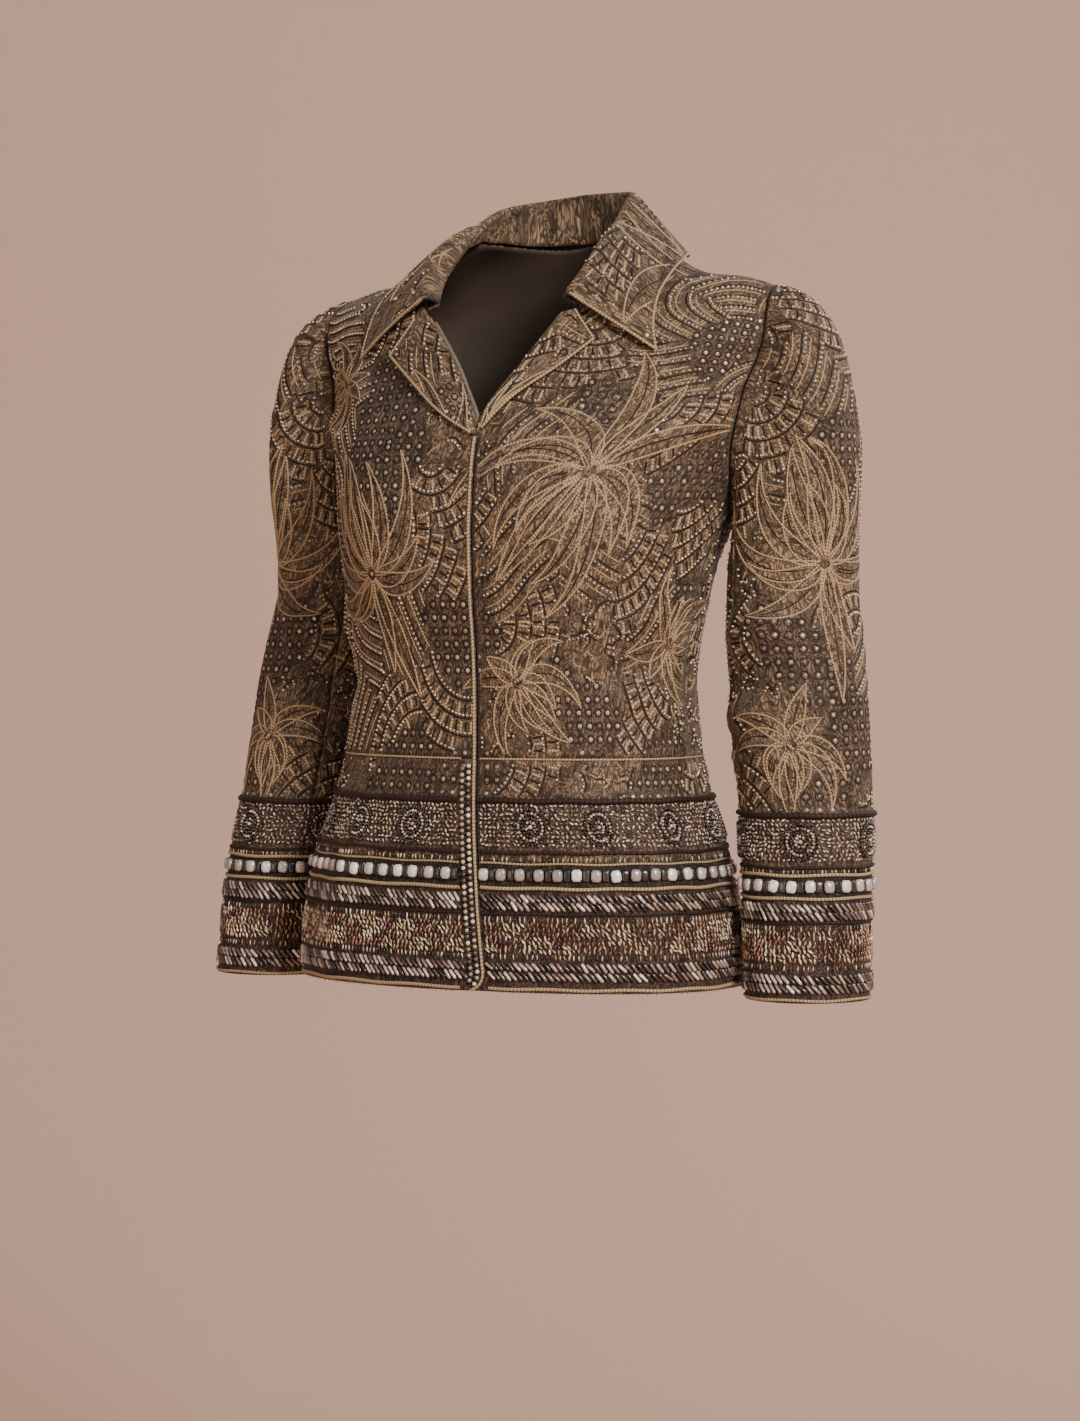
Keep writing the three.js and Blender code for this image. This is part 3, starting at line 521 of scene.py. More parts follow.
def field_lines(kind):
    """All fields of a pattern: beige lines, dark lines, short bars and the spots of dots."""
    beige, dark, bars, dots = [], [], [], []
    for number, (a0, h0, what, turn, reach) in enumerate(FIELDS[kind]):
        name = KINDS[int(what)]
        owned = lambda line: (field_of(kind, line[:, 0], line[:, 1])[0] == number)
        size = FIELD_SPACING * 0.95
        centre = np.array([a0, h0])
        pick = np.random.default_rng(1000 + number)
        if name == "bars":
            focus = centre + reach * np.array([math.cos(turn), math.sin(turn)])
            radii = np.arange(12, reach + size, 12.5)
            for ring, radius in enumerate(radii):
                angles = np.arange(0, 2 * np.pi, 2.6 / radius)
                arc = focus + radius * np.stack([np.cos(angles), np.sin(angles)], -1)
                keep = owned(arc) & (np.hypot(*(arc - centre).T) < size)
                dark += runs(arc, keep)
                for angle in np.arange(0, 2 * np.pi, (4.6 if ring % 2 else 6.2) / (radius + 6)):
                    way = np.array([math.cos(angle), math.sin(angle)])
                    bar = focus + np.outer(np.array([2.0, 6.2, 10.6]) + radius, way)
                    if owned(bar).all() and np.hypot(*(bar[1] - centre)) < size:
                        bars.append(bar)
        elif name == "dots":
            pitch = 9.2
            n = int(size / pitch) + 1
            i, j = np.meshgrid(np.arange(-n, n + 1), np.arange(-n, n + 1))
            spots = centre + pitch * np.stack([i.ravel(), j.ravel()], -1)
            dots.append(spots[owned(spots)])
        elif name == "flow":
            way = np.array([math.cos(turn), math.sin(turn)])
            across = np.array([-way[1], way[0]])
            t = np.arange(-size, size, 3.0)
            for k, shift in enumerate(np.arange(-size, size, 6.4)):
                wave = 5 * np.sin(t / 16 + turn) + 0.004 * t**2
                line = centre + np.outer(t, way) + np.outer(shift + wave, across)
                (beige if k % 2 else dark).extend(runs(line, owned(line)))
        else:
            for _ in range(58):
                start = centre + pick.uniform(-size, size, 2)
                turn_now = pick.uniform(0, 2 * np.pi)
                steps = np.cumsum(pick.normal(0.0, 0.75, 7)) + turn_now
                line = start + np.cumsum(2.4 * np.stack([np.cos(steps), np.sin(steps)], -1), axis=0)
                (beige if pick.random() < 0.35 else dark).extend(runs(line, owned(line), 4))
    return beige, dark, bars, np.concatenate(dots)


def bloom_lines(kind):
    """Petal outlines and the lines inside petals: curves from the bloom's centre."""
    outlines, inner = [], []
    for bloom in BLOOMS[kind]:
        a0, h0, *_, half = bloom
        for angle, bend, length in zip(*petals_of(bloom)):
            r = np.linspace(5, length * 0.99, int(length / 2.8))
            f = r / length
            width = half * np.sin(np.pi * f**0.8)
            for share in (-1, 0, 1):
                way = angle + bend * f**1.3 + share * width / r
                line = np.stack([a0 + r * np.cos(way), h0 + r * np.sin(way)], -1)
                if abs(share) < 1:
                    inner.append(line[3:-4])
                else:
                    outlines.append(line)
    return outlines, inner

# %% [markdown]
# The ground is cloth seen between dense stitches, so its finish is a fine weave, small
# stitch marks and slow changes of tone. The effects are node groups with a colour, a
# height and a roughness as results, which the materials below connect.

# %% Node helpers
FULL_TURN = 6.2832


def feed(tree, socket, value):
    """Links another node's output to a socket, or sets the socket to a plain value."""
    if isinstance(value, bpy.types.NodeSocket):
        tree.links.new(value, socket)
    else:
        socket.default_value = value


def node(tree, kind, inputs=None, **settings):
    made_node = tree.nodes.new(kind)
    for name, value in settings.items():
        setattr(made_node, name, value)
    for name, value in (inputs or {}).items():
        feed(tree, made_node.inputs[name], value)
    return made_node


def math_node(tree, operation, *values, clamp=False):
    made_node = tree.nodes.new("ShaderNodeMath")
    made_node.operation, made_node.use_clamp = operation, clamp
    for socket, value in zip(made_node.inputs, values):
        feed(tree, socket, value)
    return made_node.outputs[0]


def mix_colour(tree, factor, a, b, blend="MIX"):
    """A mix of two colours, where a plain colour needs no alpha."""
    mixer = node(tree, "ShaderNodeMix", data_type="RGBA", blend_type=blend)
    a, b = (side if isinstance(side, bpy.types.NodeSocket) else (*side[:3], 1) for side in (a, b))
    for index, value in ((0, factor), (6, a), (7, b)):
        feed(tree, mixer.inputs[index], value)
    return mixer.outputs[2]


def group(name, inputs, outputs):
    """A shader node group with typed inputs and outputs."""
    tree = bpy.data.node_groups.new(name, "ShaderNodeTree")
    sockets = {"colour": "NodeSocketColor", "value": "NodeSocketFloat", "vector": "NodeSocketVector"}
    for label, kind, default in inputs:
        socket = tree.interface.new_socket(label, in_out="INPUT", socket_type=sockets[kind])
        if default is not None:
            socket.default_value = default
    for label, kind in outputs:
        tree.interface.new_socket(label, in_out="OUTPUT", socket_type=sockets[kind])
    return tree, tree.nodes.new("NodeGroupInput").outputs, tree.nodes.new("NodeGroupOutput").inputs


# %% [markdown]
# The ground: fine warp and weft, short stitch marks, and broken contour lines of thread,
# which darken the cloth between them.

# %% Woven ground with small stitches
weave, given, result = group("Woven stitched ground",
    [("Vector", "vector", None), ("Tint", "colour", (0.15, 0.1, 0.06, 1)),
     ("Threads per metre", "value", 900.0), ("Contrast", "value", 0.5), ("Lines", "value", 25.0)],
    [("Color", "colour"), ("Height", "value"), ("Roughness", "value")])
split = node(weave, "ShaderNodeSeparateXYZ", {"Vector": given["Vector"]})
warp = math_node(weave, "SINE", math_node(weave, "MULTIPLY", split.outputs["X"],
    math_node(weave, "MULTIPLY", given["Threads per metre"], FULL_TURN)))
weft = math_node(weave, "SINE", math_node(weave, "MULTIPLY", split.outputs["Y"],
    math_node(weave, "MULTIPLY", given["Threads per metre"], FULL_TURN)))
crossing = math_node(weave, "MULTIPLY", warp, weft)
slub = node(weave, "ShaderNodeTexNoise", {"Vector": given["Vector"], "Scale": 420.0, "Detail": 3.0})
swirl = node(weave, "ShaderNodeTexNoise", {"Vector": given["Vector"], "Scale": 62.0, "Detail": 1.0,
             "Distortion": 0.8})
sway = math_node(weave, "MULTIPLY", swirl.outputs["Fac"], 0.024)
long_way = node(weave, "ShaderNodeCombineXYZ", {
    "X": math_node(weave, "ADD", split.outputs["X"], sway),
    "Y": math_node(weave, "MULTIPLY_ADD", split.outputs["Y"], 0.36, sway)})
marks = node(weave, "ShaderNodeTexVoronoi", {"Vector": long_way.outputs["Vector"], "Scale": 430.0,
             "Randomness": 0.7}, feature="DISTANCE_TO_EDGE")
mark = node(weave, "ShaderNodeMapRange", {"Value": marks.outputs["Distance"], "From Min": 0.05,
            "From Max": 0.24, "To Min": 0.1, "To Max": 1.0})
contour = math_node(weave, "ABSOLUTE", math_node(weave, "SINE", math_node(weave, "MULTIPLY",
    swirl.outputs["Fac"], given["Lines"])))
stitch = node(weave, "ShaderNodeMapRange", {"Value": contour, "From Min": 0.20, "From Max": 0.52})
gaps = node(weave, "ShaderNodeTexNoise", {"Vector": given["Vector"], "Scale": 250.0, "Detail": 1.0})
broken = node(weave, "ShaderNodeMapRange", {"Value": gaps.outputs["Fac"], "From Min": 0.52, "From Max": 0.6})
stitched = math_node(weave, "MAXIMUM", stitch.outputs["Result"], broken.outputs["Result"])
dark = mix_colour(weave, 1.0, given["Tint"], (0.20, 0.16, 0.14), "MULTIPLY")
light = mix_colour(weave, 1.0, given["Tint"], (2.45, 2.35, 2.25), "MULTIPLY")
share = math_node(weave, "MULTIPLY", slub.outputs["Fac"], given["Contrast"])
speckled = mix_colour(weave, share, given["Tint"], light)
with_marks = mix_colour(weave, mark.outputs["Result"], dark, speckled)
with_lines = mix_colour(weave, stitched, dark, with_marks)
weave.links.new(with_lines, result["Color"])
weave.links.new(math_node(weave, "ADD", math_node(weave, "MULTIPLY", crossing, 0.2),
    math_node(weave, "ADD", stitched, slub.outputs["Fac"])), result["Height"])
rough = math_node(weave, "MULTIPLY_ADD", slub.outputs["Fac"], 0.25, 0.6, clamp=True)
weave.links.new(rough, result["Roughness"])

# %% [markdown]
# Cords, braids and piping are spun thread. The grooves between the plies are painted shade
# and the crests of the plies are painted lighter, as if lit, on top of the real bump of the plies.

# %% Twisted thread, for cords and piping
thread, given, result = group("Twisted thread",
    [("Vector", "vector", None), ("Color", "colour", (0.4, 0.3, 0.2, 1)),
     ("Twists per metre", "value", 420.0)],
    [("Color", "colour"), ("Height", "value"), ("Roughness", "value")])
split = node(thread, "ShaderNodeSeparateXYZ", {"Vector": given["Vector"]})
slant = math_node(thread, "ADD", math_node(thread, "MULTIPLY", split.outputs["X"], given["Twists per metre"]),
                  math_node(thread, "MULTIPLY", split.outputs["Y"], 0.5))
groove = math_node(thread, "SINE", math_node(thread, "MULTIPLY", slant, FULL_TURN / 2))
ply = math_node(thread, "ABSOLUTE", groove)
fibre = node(thread, "ShaderNodeTexNoise", {"Vector": given["Vector"], "Scale": 300.0, "Detail": 2.0})
# shade is a painted-shade copy of the thread colour for the grooves, and lit is a painted-highlight copy for
# the ply crests
shade = mix_colour(thread, 1.0, given["Color"], (0.42, 0.38, 0.34), "MULTIPLY")
lit = mix_colour(thread, 1.0, given["Color"], (1.9, 1.85, 1.75), "MULTIPLY")
bright = mix_colour(thread, fibre.outputs["Fac"], given["Color"], lit)
# Painted light: the ply crests take the painted highlight and the grooves the painted shade
thread.links.new(mix_colour(thread, ply, shade, bright), result["Color"])
thread.links.new(ply, result["Height"])
thread.links.new(math_node(thread, "MULTIPLY_ADD", fibre.outputs["Fac"], 0.3, 0.45), result["Roughness"])

# %% [markdown]
# Cloth, thread and beads are all a little darker in soft patches, so that no surface of
# the jacket is one flat tone.

# %% Slow changes of tone, as on worn and handled cloth
tone, given, result = group("Uneven tone",
    [("Color", "colour", (0.5, 0.5, 0.5, 1)), ("Amount", "value", 0.35)], [("Color", "colour")])
place = node(tone, "ShaderNodeTexCoord")
patches = node(tone, "ShaderNodeTexNoise", {"Vector": place.outputs["Object"], "Scale": 14.0, "Detail": 4.0})
grime = node(tone, "ShaderNodeTexNoise", {"Vector": place.outputs["Object"], "Scale": 90.0, "Detail": 3.0})
both = math_node(tone, "ADD", math_node(tone, "MULTIPLY", patches.outputs["Fac"], 0.6),
                 math_node(tone, "MULTIPLY", grime.outputs["Fac"], 0.4))
spread = node(tone, "ShaderNodeMapRange", {"Value": both, "From Min": 0.35, "From Max": 0.65,
              "To Min": 0.0, "To Max": 1.0})
darker = mix_colour(tone, 1.0, given["Color"], (0.55, 0.52, 0.5), "MULTIPLY")
rest = math_node(tone, "SUBTRACT", 1.0, spread.outputs["Result"])
worn_share = math_node(tone, "MULTIPLY", rest, given["Amount"])
tone.links.new(mix_colour(tone, worn_share, given["Color"], darker), result["Color"])


def use_group(tree, used, inputs):
    made_node = tree.nodes.new("ShaderNodeGroup")
    made_node.node_tree = used
    for name, value in inputs.items():
        feed(tree, made_node.inputs[name], value)
    return made_node.outputs


def new_material(name):
    material = bpy.data.materials.new(name)
    material.use_nodes = True
    materials[name] = material
    tree = material.node_tree
    return tree, tree.nodes["Principled BSDF"]


def connect(tree, shader, colour, rough, height=None, bump=0.3, distance=0.0004):
    tree.links.new(colour, shader.inputs["Base Color"])
    tree.links.new(rough, shader.inputs["Roughness"])
    if height is not None:
        raised = node(tree, "ShaderNodeBump", {"Strength": bump, "Distance": distance, "Height": height})
        tree.links.new(raised.outputs["Normal"], shader.inputs["Normal"])


# %% [markdown]
# Four kinds of material: stitched cloth, spun thread, beads that take their colour from
# the mesh, and a plain satin lining inside the walls.

# %% Materials
def cloth_material(name, threads, contrast, amount):
    tree, shader = new_material(name)
    flat = node(tree, "ShaderNodeUVMap", uv_map="flat")
    tint = node(tree, "ShaderNodeAttribute", attribute_name="tint")
    made_cloth = use_group(tree, weave, {"Vector": flat.outputs["UV"], "Tint": tint.outputs["Color"],
                           "Threads per metre": threads, "Contrast": contrast})
    toned = use_group(tree, tone, {"Color": made_cloth["Color"], "Amount": amount})
    shader.inputs["Sheen Weight"].default_value = 0.06
    shader.inputs["Specular IOR Level"].default_value = 0.25
    shader.inputs["Sheen Roughness"].default_value = 0.5
    connect(tree, shader, toned["Color"], made_cloth["Roughness"], made_cloth["Height"], 0.35)


def thread_material(name, colour, twists, amount=0.3):
    tree, shader = new_material(name)
    flat = node(tree, "ShaderNodeUVMap", uv_map="flat")
    made_thread = use_group(tree, thread, {"Vector": flat.outputs["UV"], "Color": (*colour, 1),
                            "Twists per metre": twists})
    toned = use_group(tree, tone, {"Color": made_thread["Color"], "Amount": amount})
    shader.inputs["Specular IOR Level"].default_value = 0.2
    connect(tree, shader, toned["Color"], made_thread["Roughness"], made_thread["Height"], 0.4, 0.0003)


def bead_material(name, metallic, rough, coat):
    tree, shader = new_material(name)
    tint = node(tree, "ShaderNodeAttribute", attribute_name="tint")
    place = node(tree, "ShaderNodeTexCoord")
    haze = node(tree, "ShaderNodeTexNoise", {"Vector": place.outputs["Object"], "Scale": 500.0,
                "Detail": 2.0})
    toned = use_group(tree, tone, {"Color": tint.outputs["Color"], "Amount": 0.25})
    roughness = math_node(tree, "MULTIPLY_ADD", haze.outputs["Fac"], 0.22, rough)
    shader.inputs["Metallic"].default_value = metallic
    shader.inputs["Coat Weight"].default_value = coat
    shader.inputs["Coat Roughness"].default_value = 0.12
    connect(tree, shader, toned["Color"], roughness)


def lining_material(name, colour):
    tree, shader = new_material(name)
    flat = node(tree, "ShaderNodeUVMap", uv_map="flat")
    satin = node(tree, "ShaderNodeTexNoise", {"Vector": flat.outputs["UV"], "Scale": 160.0, "Detail": 3.0})
    toned = use_group(tree, tone, {"Color": (*colour, 1), "Amount": 0.4})
    shader.inputs["Specular IOR Level"].default_value = 0.3
    connect(tree, shader, toned["Color"], math_node(tree, "MULTIPLY_ADD", satin.outputs["Fac"], 0.2, 0.5))


cloth_material("embroidered cloth", 900.0, 0.55, 0.5)
lining_material("lining", (0.060, 0.040, 0.028))
thread_material("beige cord", (0.36, 0.25, 0.145), 420.0)
thread_material("dark stitch", (0.014, 0.008, 0.005), 600.0, 0.2)
thread_material("pale piping", (0.36, 0.26, 0.155), 380.0, 0.4)
thread_material("dark braid", (0.026, 0.014, 0.011), 260.0, 0.2)
thread_material("neck tape", (0.17, 0.14, 0.105), 700.0, 0.3)
bead_material("glass beads", 0.2, 0.16, 0.5)
bead_material("hem threads", 0.0, 0.6, 0.0)
print("materials:", ", ".join(materials))

# %% [markdown]
# Piping, braids and seam cords are round tubes. Their texture runs along their length, so
# the twist of the thread follows every curve. Many small shapes are gathered in one mesh.

# %% Gathering small shapes, and round cords
class Gather:
    """Collects points, faces, UVs and colours of many small shapes for one mesh."""

    def __init__(self):
        self.points, self.faces, self.uv, self.colours, self.count = [], [], [], [], 0

    def add(self, points, faces, uv=None, colours=None):
        points = np.asarray(points).reshape(-1, 3)
        self.points.append(points)
        self.faces.append(np.asarray(faces) + self.count)
        self.uv.append(np.zeros((len(points), 2)) if uv is None else np.asarray(uv).reshape(-1, 2))
        plain = np.full((len(points), 3), 0.5)
        self.colours.append(plain if colours is None else np.broadcast_to(colours, (len(points), 3)))
        self.count += len(points)

    def build(self, name, material, slot):
        faces = [face for block in self.faces for face in block.tolist()]
        piece = new_mesh(name, np.concatenate(self.points), faces, material,
                         np.concatenate(self.uv), np.concatenate(self.colours))
        print(name, "faces:", len(piece.data.polygons))
        return piece


TUBE_SIDES = 6
TUBE_GUIDE = (0.13, 0.21, 0.97)


def tube(gather, spine, radius):
    """A round cord along worn points in mm, closed at both ends."""
    sides = TUBE_SIDES
    along = unit(np.gradient(spine, axis=0))
    side = unit(np.cross(along, TUBE_GUIDE))
    top = np.cross(side, along)
    turn = np.arange(sides) * 2 * np.pi / sides
    ring = side[:, None] * np.cos(turn)[None, :, None] + top[:, None] * np.sin(turn)[None, :, None]
    points = spine[:, None] + ring * radius
    run = run_of(spine)
    uv = np.stack(np.broadcast_arrays(run[:, None], np.abs(np.linspace(-1000, 1000, sides))[None, :]), -1)
    i, j = np.meshgrid(np.arange(len(spine) - 1), np.arange(sides), indexing="ij")
    i2, j2 = i + 1, (j + 1) % sides
    faces = np.stack([i * sides + j, i * sides + j2, i2 * sides + j2, i2 * sides + j], -1).reshape(-1, 4)
    gather.add(points, faces, uv)
    gather.add(points[0], [list(range(sides))], uv[0])
    gather.add(points[-1], [list(range(sides - 1, -1, -1))], uv[-1])


def step_line(points, step):
    """The same flat or worn line with points at even distances."""
    points = np.asarray(points, float)
    run = run_of(points)
    count = max(int(run[-1] / step), 2)
    at = np.linspace(0, run[-1], count + 1)
    return np.stack([np.interp(at, run, points[:, k]) for k in range(points.shape[1])], -1)


# %% [markdown]
# Beads are copies of a few small shapes: round beads, long bugles, short seeds, flat and
# domed squares, low dots and specks. Each copy is turned to the cloth under it and gets its
# own colour, because no two glass or metal beads in such a border look quite alike.

# %% Bead shapes
def spun(profile, sides, floor=True):
    """A shape turned about its z axis from (radius, height) rows, closed below if it has a floor."""
    turn = np.arange(sides) * 2 * np.pi / sides
    rows = [np.stack([r * np.cos(turn), r * np.sin(turn), np.full(sides, z)], -1) for r, z in profile]
    points = np.concatenate(rows)
    faces = []
    for i in range(len(profile) - 1):
        for j in range(sides):
            a, b = i * sides + j, i * sides + (j + 1) % sides
            faces.append((a, b, b + sides, a + sides))
    top = [len(points) - sides + j for j in range(sides)]
    bottom = [tuple(range(sides - 1, -1, -1))] if floor else []
    return points, faces + [tuple(top)] + bottom


def laid(shape):
    """A spun shape laid down, so that its own axis runs along x."""
    points, faces = shape
    return points[:, [2, 0, 1]], faces


def bugle_shape():
    """A bugle along x, 1 long and 1 thick, rounded at its ends."""
    return laid(spun(((0.3, -0.5), (0.5, -0.36), (0.5, 0.36), (0.3, 0.5)), 6))


def square_shape(rows=((0.5, 0.0), (0.5, 0.55), (0.38, 0.92), (0.2, 1.0)), corner=0.94):
    """A flat square bead, 1 wide, from (half-width, height) rows, with its corners cut."""
    points, faces = [], []
    for r, z in rows:
        c = r * corner
        for x, y in ((-r, -c), (-c, -r), (c, -r), (r, -c), (r, c), (c, r), (-c, r), (-r, c)):
            points.append((x, y, z))
    for i in range(len(rows) - 1):
        for j in range(8):
            a, b = i * 8 + j, i * 8 + (j + 1) % 8
            faces.append((a, b, b + 8, a + 8))
    last = (len(rows) - 1) * 8
    return np.array(points), faces + [tuple(last + j for j in range(8)), tuple(range(7, -1, -1))]


SHAPES = {
    "round": spun([(0.25, 0.0), (0.47, 0.22), (0.5, 0.45), (0.38, 0.78), (0.16, 0.95)], 8),
    "bugle": bugle_shape(),
    "square": square_shape(),
    "dot": spun([(0.5, 0.0), (0.42, 0.8), (0.2, 1.0)], 6),
    "speck": spun([(0.5, 0.0), (0.34, 1.0)], 5, floor=False),
    "small": spun([(0.42, 0.0), (0.5, 0.45), (0.26, 0.95)], 6),
    "seed": laid(spun([(0.27, -0.5), (0.5, 0.0), (0.27, 0.5)], 5)),
    "pearl": square_shape(((0.5, 0.0), (0.5, 0.45), (0.44, 0.75), (0.3, 0.95), (0.12, 1.0)), 0.6),
}


def strew(gather, place, spots, shape, size, turns, lift, tints):
    """Copies of a bead shape at flat spots. size is (along, across, high) rows in mm."""
    points, faces = SHAPES[shape]
    base, out = place(spots[:, 0], spots[:, 1], lift)
    ahead, _ = place(spots[:, 0] + 0.5, spots[:, 1], lift)
    along = ahead - base
    along = unit(along - out * np.sum(along * out, axis=1, keepdims=True))
    upward = np.cross(out, along)
    turns = np.broadcast_to(np.asarray(turns, float), (len(spots),))[:, None]
    axis_x = along * np.cos(turns) + upward * np.sin(turns)
    axis_y = -along * np.sin(turns) + upward * np.cos(turns)
    size = np.broadcast_to(np.asarray(size, float), (len(spots), 3))
    scaled = points[None] * size[:, None]
    world = (base[:, None] + scaled[..., :1] * axis_x[:, None] + scaled[..., 1:2] * axis_y[:, None]
             + scaled[..., 2:] * out[:, None])
    lengths = sorted({len(face) for face in faces})
    for length in lengths:
        same = np.array([face for face in faces if len(face) == length])
        if length == lengths[0]:
            start = gather.count
            blocks = same[None] + np.arange(len(spots))[:, None, None] * len(points)
            gather.add(world, blocks.reshape(-1, length),
                       colours=np.repeat(tints, len(points), axis=0))
        else:
            blocks = same[None] + np.arange(len(spots))[:, None, None] * len(points) + start
            gather.faces.append(blocks.reshape(-1, length))


def bead_sizes(count, *spans):
    """Rows of (along, across, high) in mm, where each is one size or lies between two."""
    columns = [rng.uniform(*span, count) if isinstance(span, tuple) else np.full(count, span)
               for span in spans]
    return np.stack(columns, -1)


def shades(count, palette, spread=0.18):
    """Bead colours picked from a palette, each a little lighter or darker."""
    picked = np.array(palette)[rng.integers(0, len(palette), count)]
    return np.clip(picked * (1 + rng.normal(0, spread, (count, 1))), 0.004, 1)

# %% [markdown]
# The cut pieces of the body. Each panel runs between two free or sewn edges, given in
# flat coordinates, and its grid follows both of them, so the seams meet without a step.

# %% Body panels
STEP = 4.0
# Half of the air between two panels, at their sides and at the waist and the shoulder
SEAM, ROW_SEAM = 0.25, 0.3


def arm_across(level, name):
    return arm_angle(level, name) * FLAT_RADIUS


def edge_across(x, level):
    return angle_at(x, level) * FLAT_RADIUS


HALF_ROUND = np.pi * FLAT_RADIUS
PANEL_EDGES = {
    "front_right": (lambda h: -arm_across(h, "arm_front") + SEAM, lambda h: edge_across(right_edge_x(h), h)),
    "front_left": (lambda h: edge_across(left_edge_x(h), h), lambda h: arm_across(h, "arm_front") - SEAM),
    "back": (lambda h: HALF_ROUND - arm_across(h, "arm_back") + SEAM,
             lambda h: HALF_ROUND + arm_across(h, "arm_back") - SEAM),
}


def declare_cloth(piece, node_name):
    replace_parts(piece, node_name)


def flat_grid(low, high, levels, columns):
    """Flat coordinates of a panel's grid, evenly spaced between two edges."""
    share = np.linspace(0, 1, columns)
    levels = np.asarray(levels, float)
    start, end = low(levels), high(levels)
    return start[:, None] + (end - start)[:, None] * share[None], np.repeat(levels[:, None], columns, 1)


BORDER_BANDS = (
    # level, half height, colour: darker ground under the beads
    (-421, 17, (0.110, 0.068, 0.045)), (-455, 9, (0.040, 0.025, 0.018)),
    (-474, 8, (0.085, 0.050, 0.036)), (-498, 17, (0.085, 0.046, 0.026)), (-522, 10, (0.075, 0.044, 0.032)),
)


def border_tint(tint, up, shift=0.0):
    for level, half, colour in BORDER_BANDS:
        inside = (smooth_step(up, level + shift - half - 2, level + shift - half)
                  * (1 - smooth_step(up, level + shift + half, level + shift + half + 2)))[..., None]
        tint = tint * (1 - inside) + np.array(colour) * inside
    return tint


def body_panel(name, edges, low_level, high_level, columns, left=False):
    rows = int(abs(high_level - low_level) / STEP) + 1
    across, up = flat_grid(*edges, np.linspace(low_level, high_level, rows), columns)
    outer, _ = on_body(across, up, 0.0, left)
    inner, _ = on_body(across, up, -CLOTH, left)
    uv = np.stack([across, up], -1)
    tint = border_tint(cloth_tint("body", wrapped("body", across), up), up)
    piece = wall(name + "_cloth", outer, inner, uv, tint)
    declare_cloth(piece, name)


body_panel("front_right", PANEL_EDGES["front_right"], WAIST + ROW_SEAM, SHOULDER - ROW_SEAM, 62)
body_panel("front_left", PANEL_EDGES["front_left"], WAIST + ROW_SEAM, SHOULDER - ROW_SEAM, 66, True)
body_panel("peplum_right", PANEL_EDGES["front_right"], HEM, WAIST - ROW_SEAM, 66)
body_panel("peplum_left", PANEL_EDGES["front_left"], HEM, WAIST - ROW_SEAM, 72, True)
body_panel("peplum_back", PANEL_EDGES["back"], HEM, WAIST - ROW_SEAM, 110)

# %% [markdown]
# The back is cut in one. Its grid is squeezed below the low curved neckline, so that the
# top row of the panel is the neckline itself.

# %% Back panel
BACK_NECK = {"half": 68, "low": -4}
BACK_COLUMNS, CLOSE_FROM = 121, -60


def neckline(x, top):
    """Level of the back neckline at a distance x from the middle, up to top."""
    share = np.clip(x / BACK_NECK["half"], 0, 1)
    return BACK_NECK["low"] + (top - BACK_NECK["low"]) * share**2 * (1.6 - 0.6 * share)


back_levels = np.linspace(WAIST + ROW_SEAM, SHOULDER - ROW_SEAM, 101)
across, up = flat_grid(*PANEL_EDGES["back"], back_levels, BACK_COLUMNS)
turns = np.linspace(-1, 1, BACK_COLUMNS) * arm_angle(SHOULDER, "arm_back")
neck_level = neckline(np.abs(ring_column("half", SHOULDER) * np.sin(turns)), SHOULDER - ROW_SEAM)[None]
squeezed = CLOSE_FROM + (up - CLOSE_FROM) * (neck_level - CLOSE_FROM) / (SHOULDER - ROW_SEAM - CLOSE_FROM)
up = np.where(up > CLOSE_FROM, squeezed, up)
back_outer, _ = on_body(across, up, 0.0)
back_inner, _ = on_body(across, up, -CLOTH)
back_piece = wall("back_cloth", back_outer, back_inner, np.stack([across, up], -1),
                  cloth_tint("body", wrapped("body", across), up))
declare_cloth(back_piece, "back")

# %% [markdown]
# The sleeves are two-piece: an upper sleeve that shows and a narrower under sleeve. The
# cap stands a little above the shoulder, as a lightly padded sleeve head does.

# %% Sleeves
UNDER_SLEEVE = np.radians((128, 232))
CUFF = -542
SLEEVE_SEAM = 0.35
SIDES = ((1, "left"), (-1, "right"))


def sleeve_panel(name, start, end, columns, side):
    across = np.linspace(end, start, columns)[None]
    below = np.linspace(CUFF - CAP_END, 0, 71)[:, None] * np.ones((1, columns))
    above = np.linspace(0, 1, 61)[1:, None] * cap_length(across)
    up = np.concatenate([below, above])
    across = across * np.ones((len(up), 1))
    outer, _ = on_sleeve(across, up, 0.0, side)
    inner, _ = on_sleeve(across, up, -CLOTH, side)
    tint = border_tint(cloth_tint("sleeve", wrapped("sleeve", across), up), up + CAP_END, -8.0)
    piece = wall(f"{name}_cloth", outer, inner, np.stack([across + APART * side, up], -1), tint,
                 flip=side < 0)
    declare_cloth(piece, name)


for side, word in SIDES:
    front_turn, back_turn = UNDER_SLEEVE * SLEEVE_RADIUS
    far_turn = back_turn - ROUND["sleeve"]
    sleeve_panel(f"sleeve_top_{word}", far_turn + SLEEVE_SEAM, front_turn - SLEEVE_SEAM, 66, side)
    sleeve_panel(f"sleeve_under_{word}", front_turn + SLEEVE_SEAM, back_turn - SLEEVE_SEAM, 28, side)

# %% [markdown]
# A lapel is the front turned back on itself along the roll line, so it is a second wall
# laid on the first, with a little air under it where the roll is soft.

# %% Lapels
LAPEL_ROWS = {
    # share of the way up, roll x and z, edge x and z
    "left": np.array([(0, 12.5, -150, 15, -147), (0.3, 15, -131, 31, -126), (0.65, 32, -98, 57, -104),
                      (1, 52, -64, 78, -84)], float),
    "right": np.array([(0, -12.5, -150, -10, -150), (0.3, -3, -128, 18, -136), (0.65, 23, -95, 50, -115),
                       (1, 52, -64, 83, -92)], float),
}
NOTCH = {"u": 0.4, "rise": 9.5}
COLLAR_CLOTH, LAID_GAP = 2.0, 0.6
LAPEL_WIDE, LAPEL_LONG = 40.0, 110.0


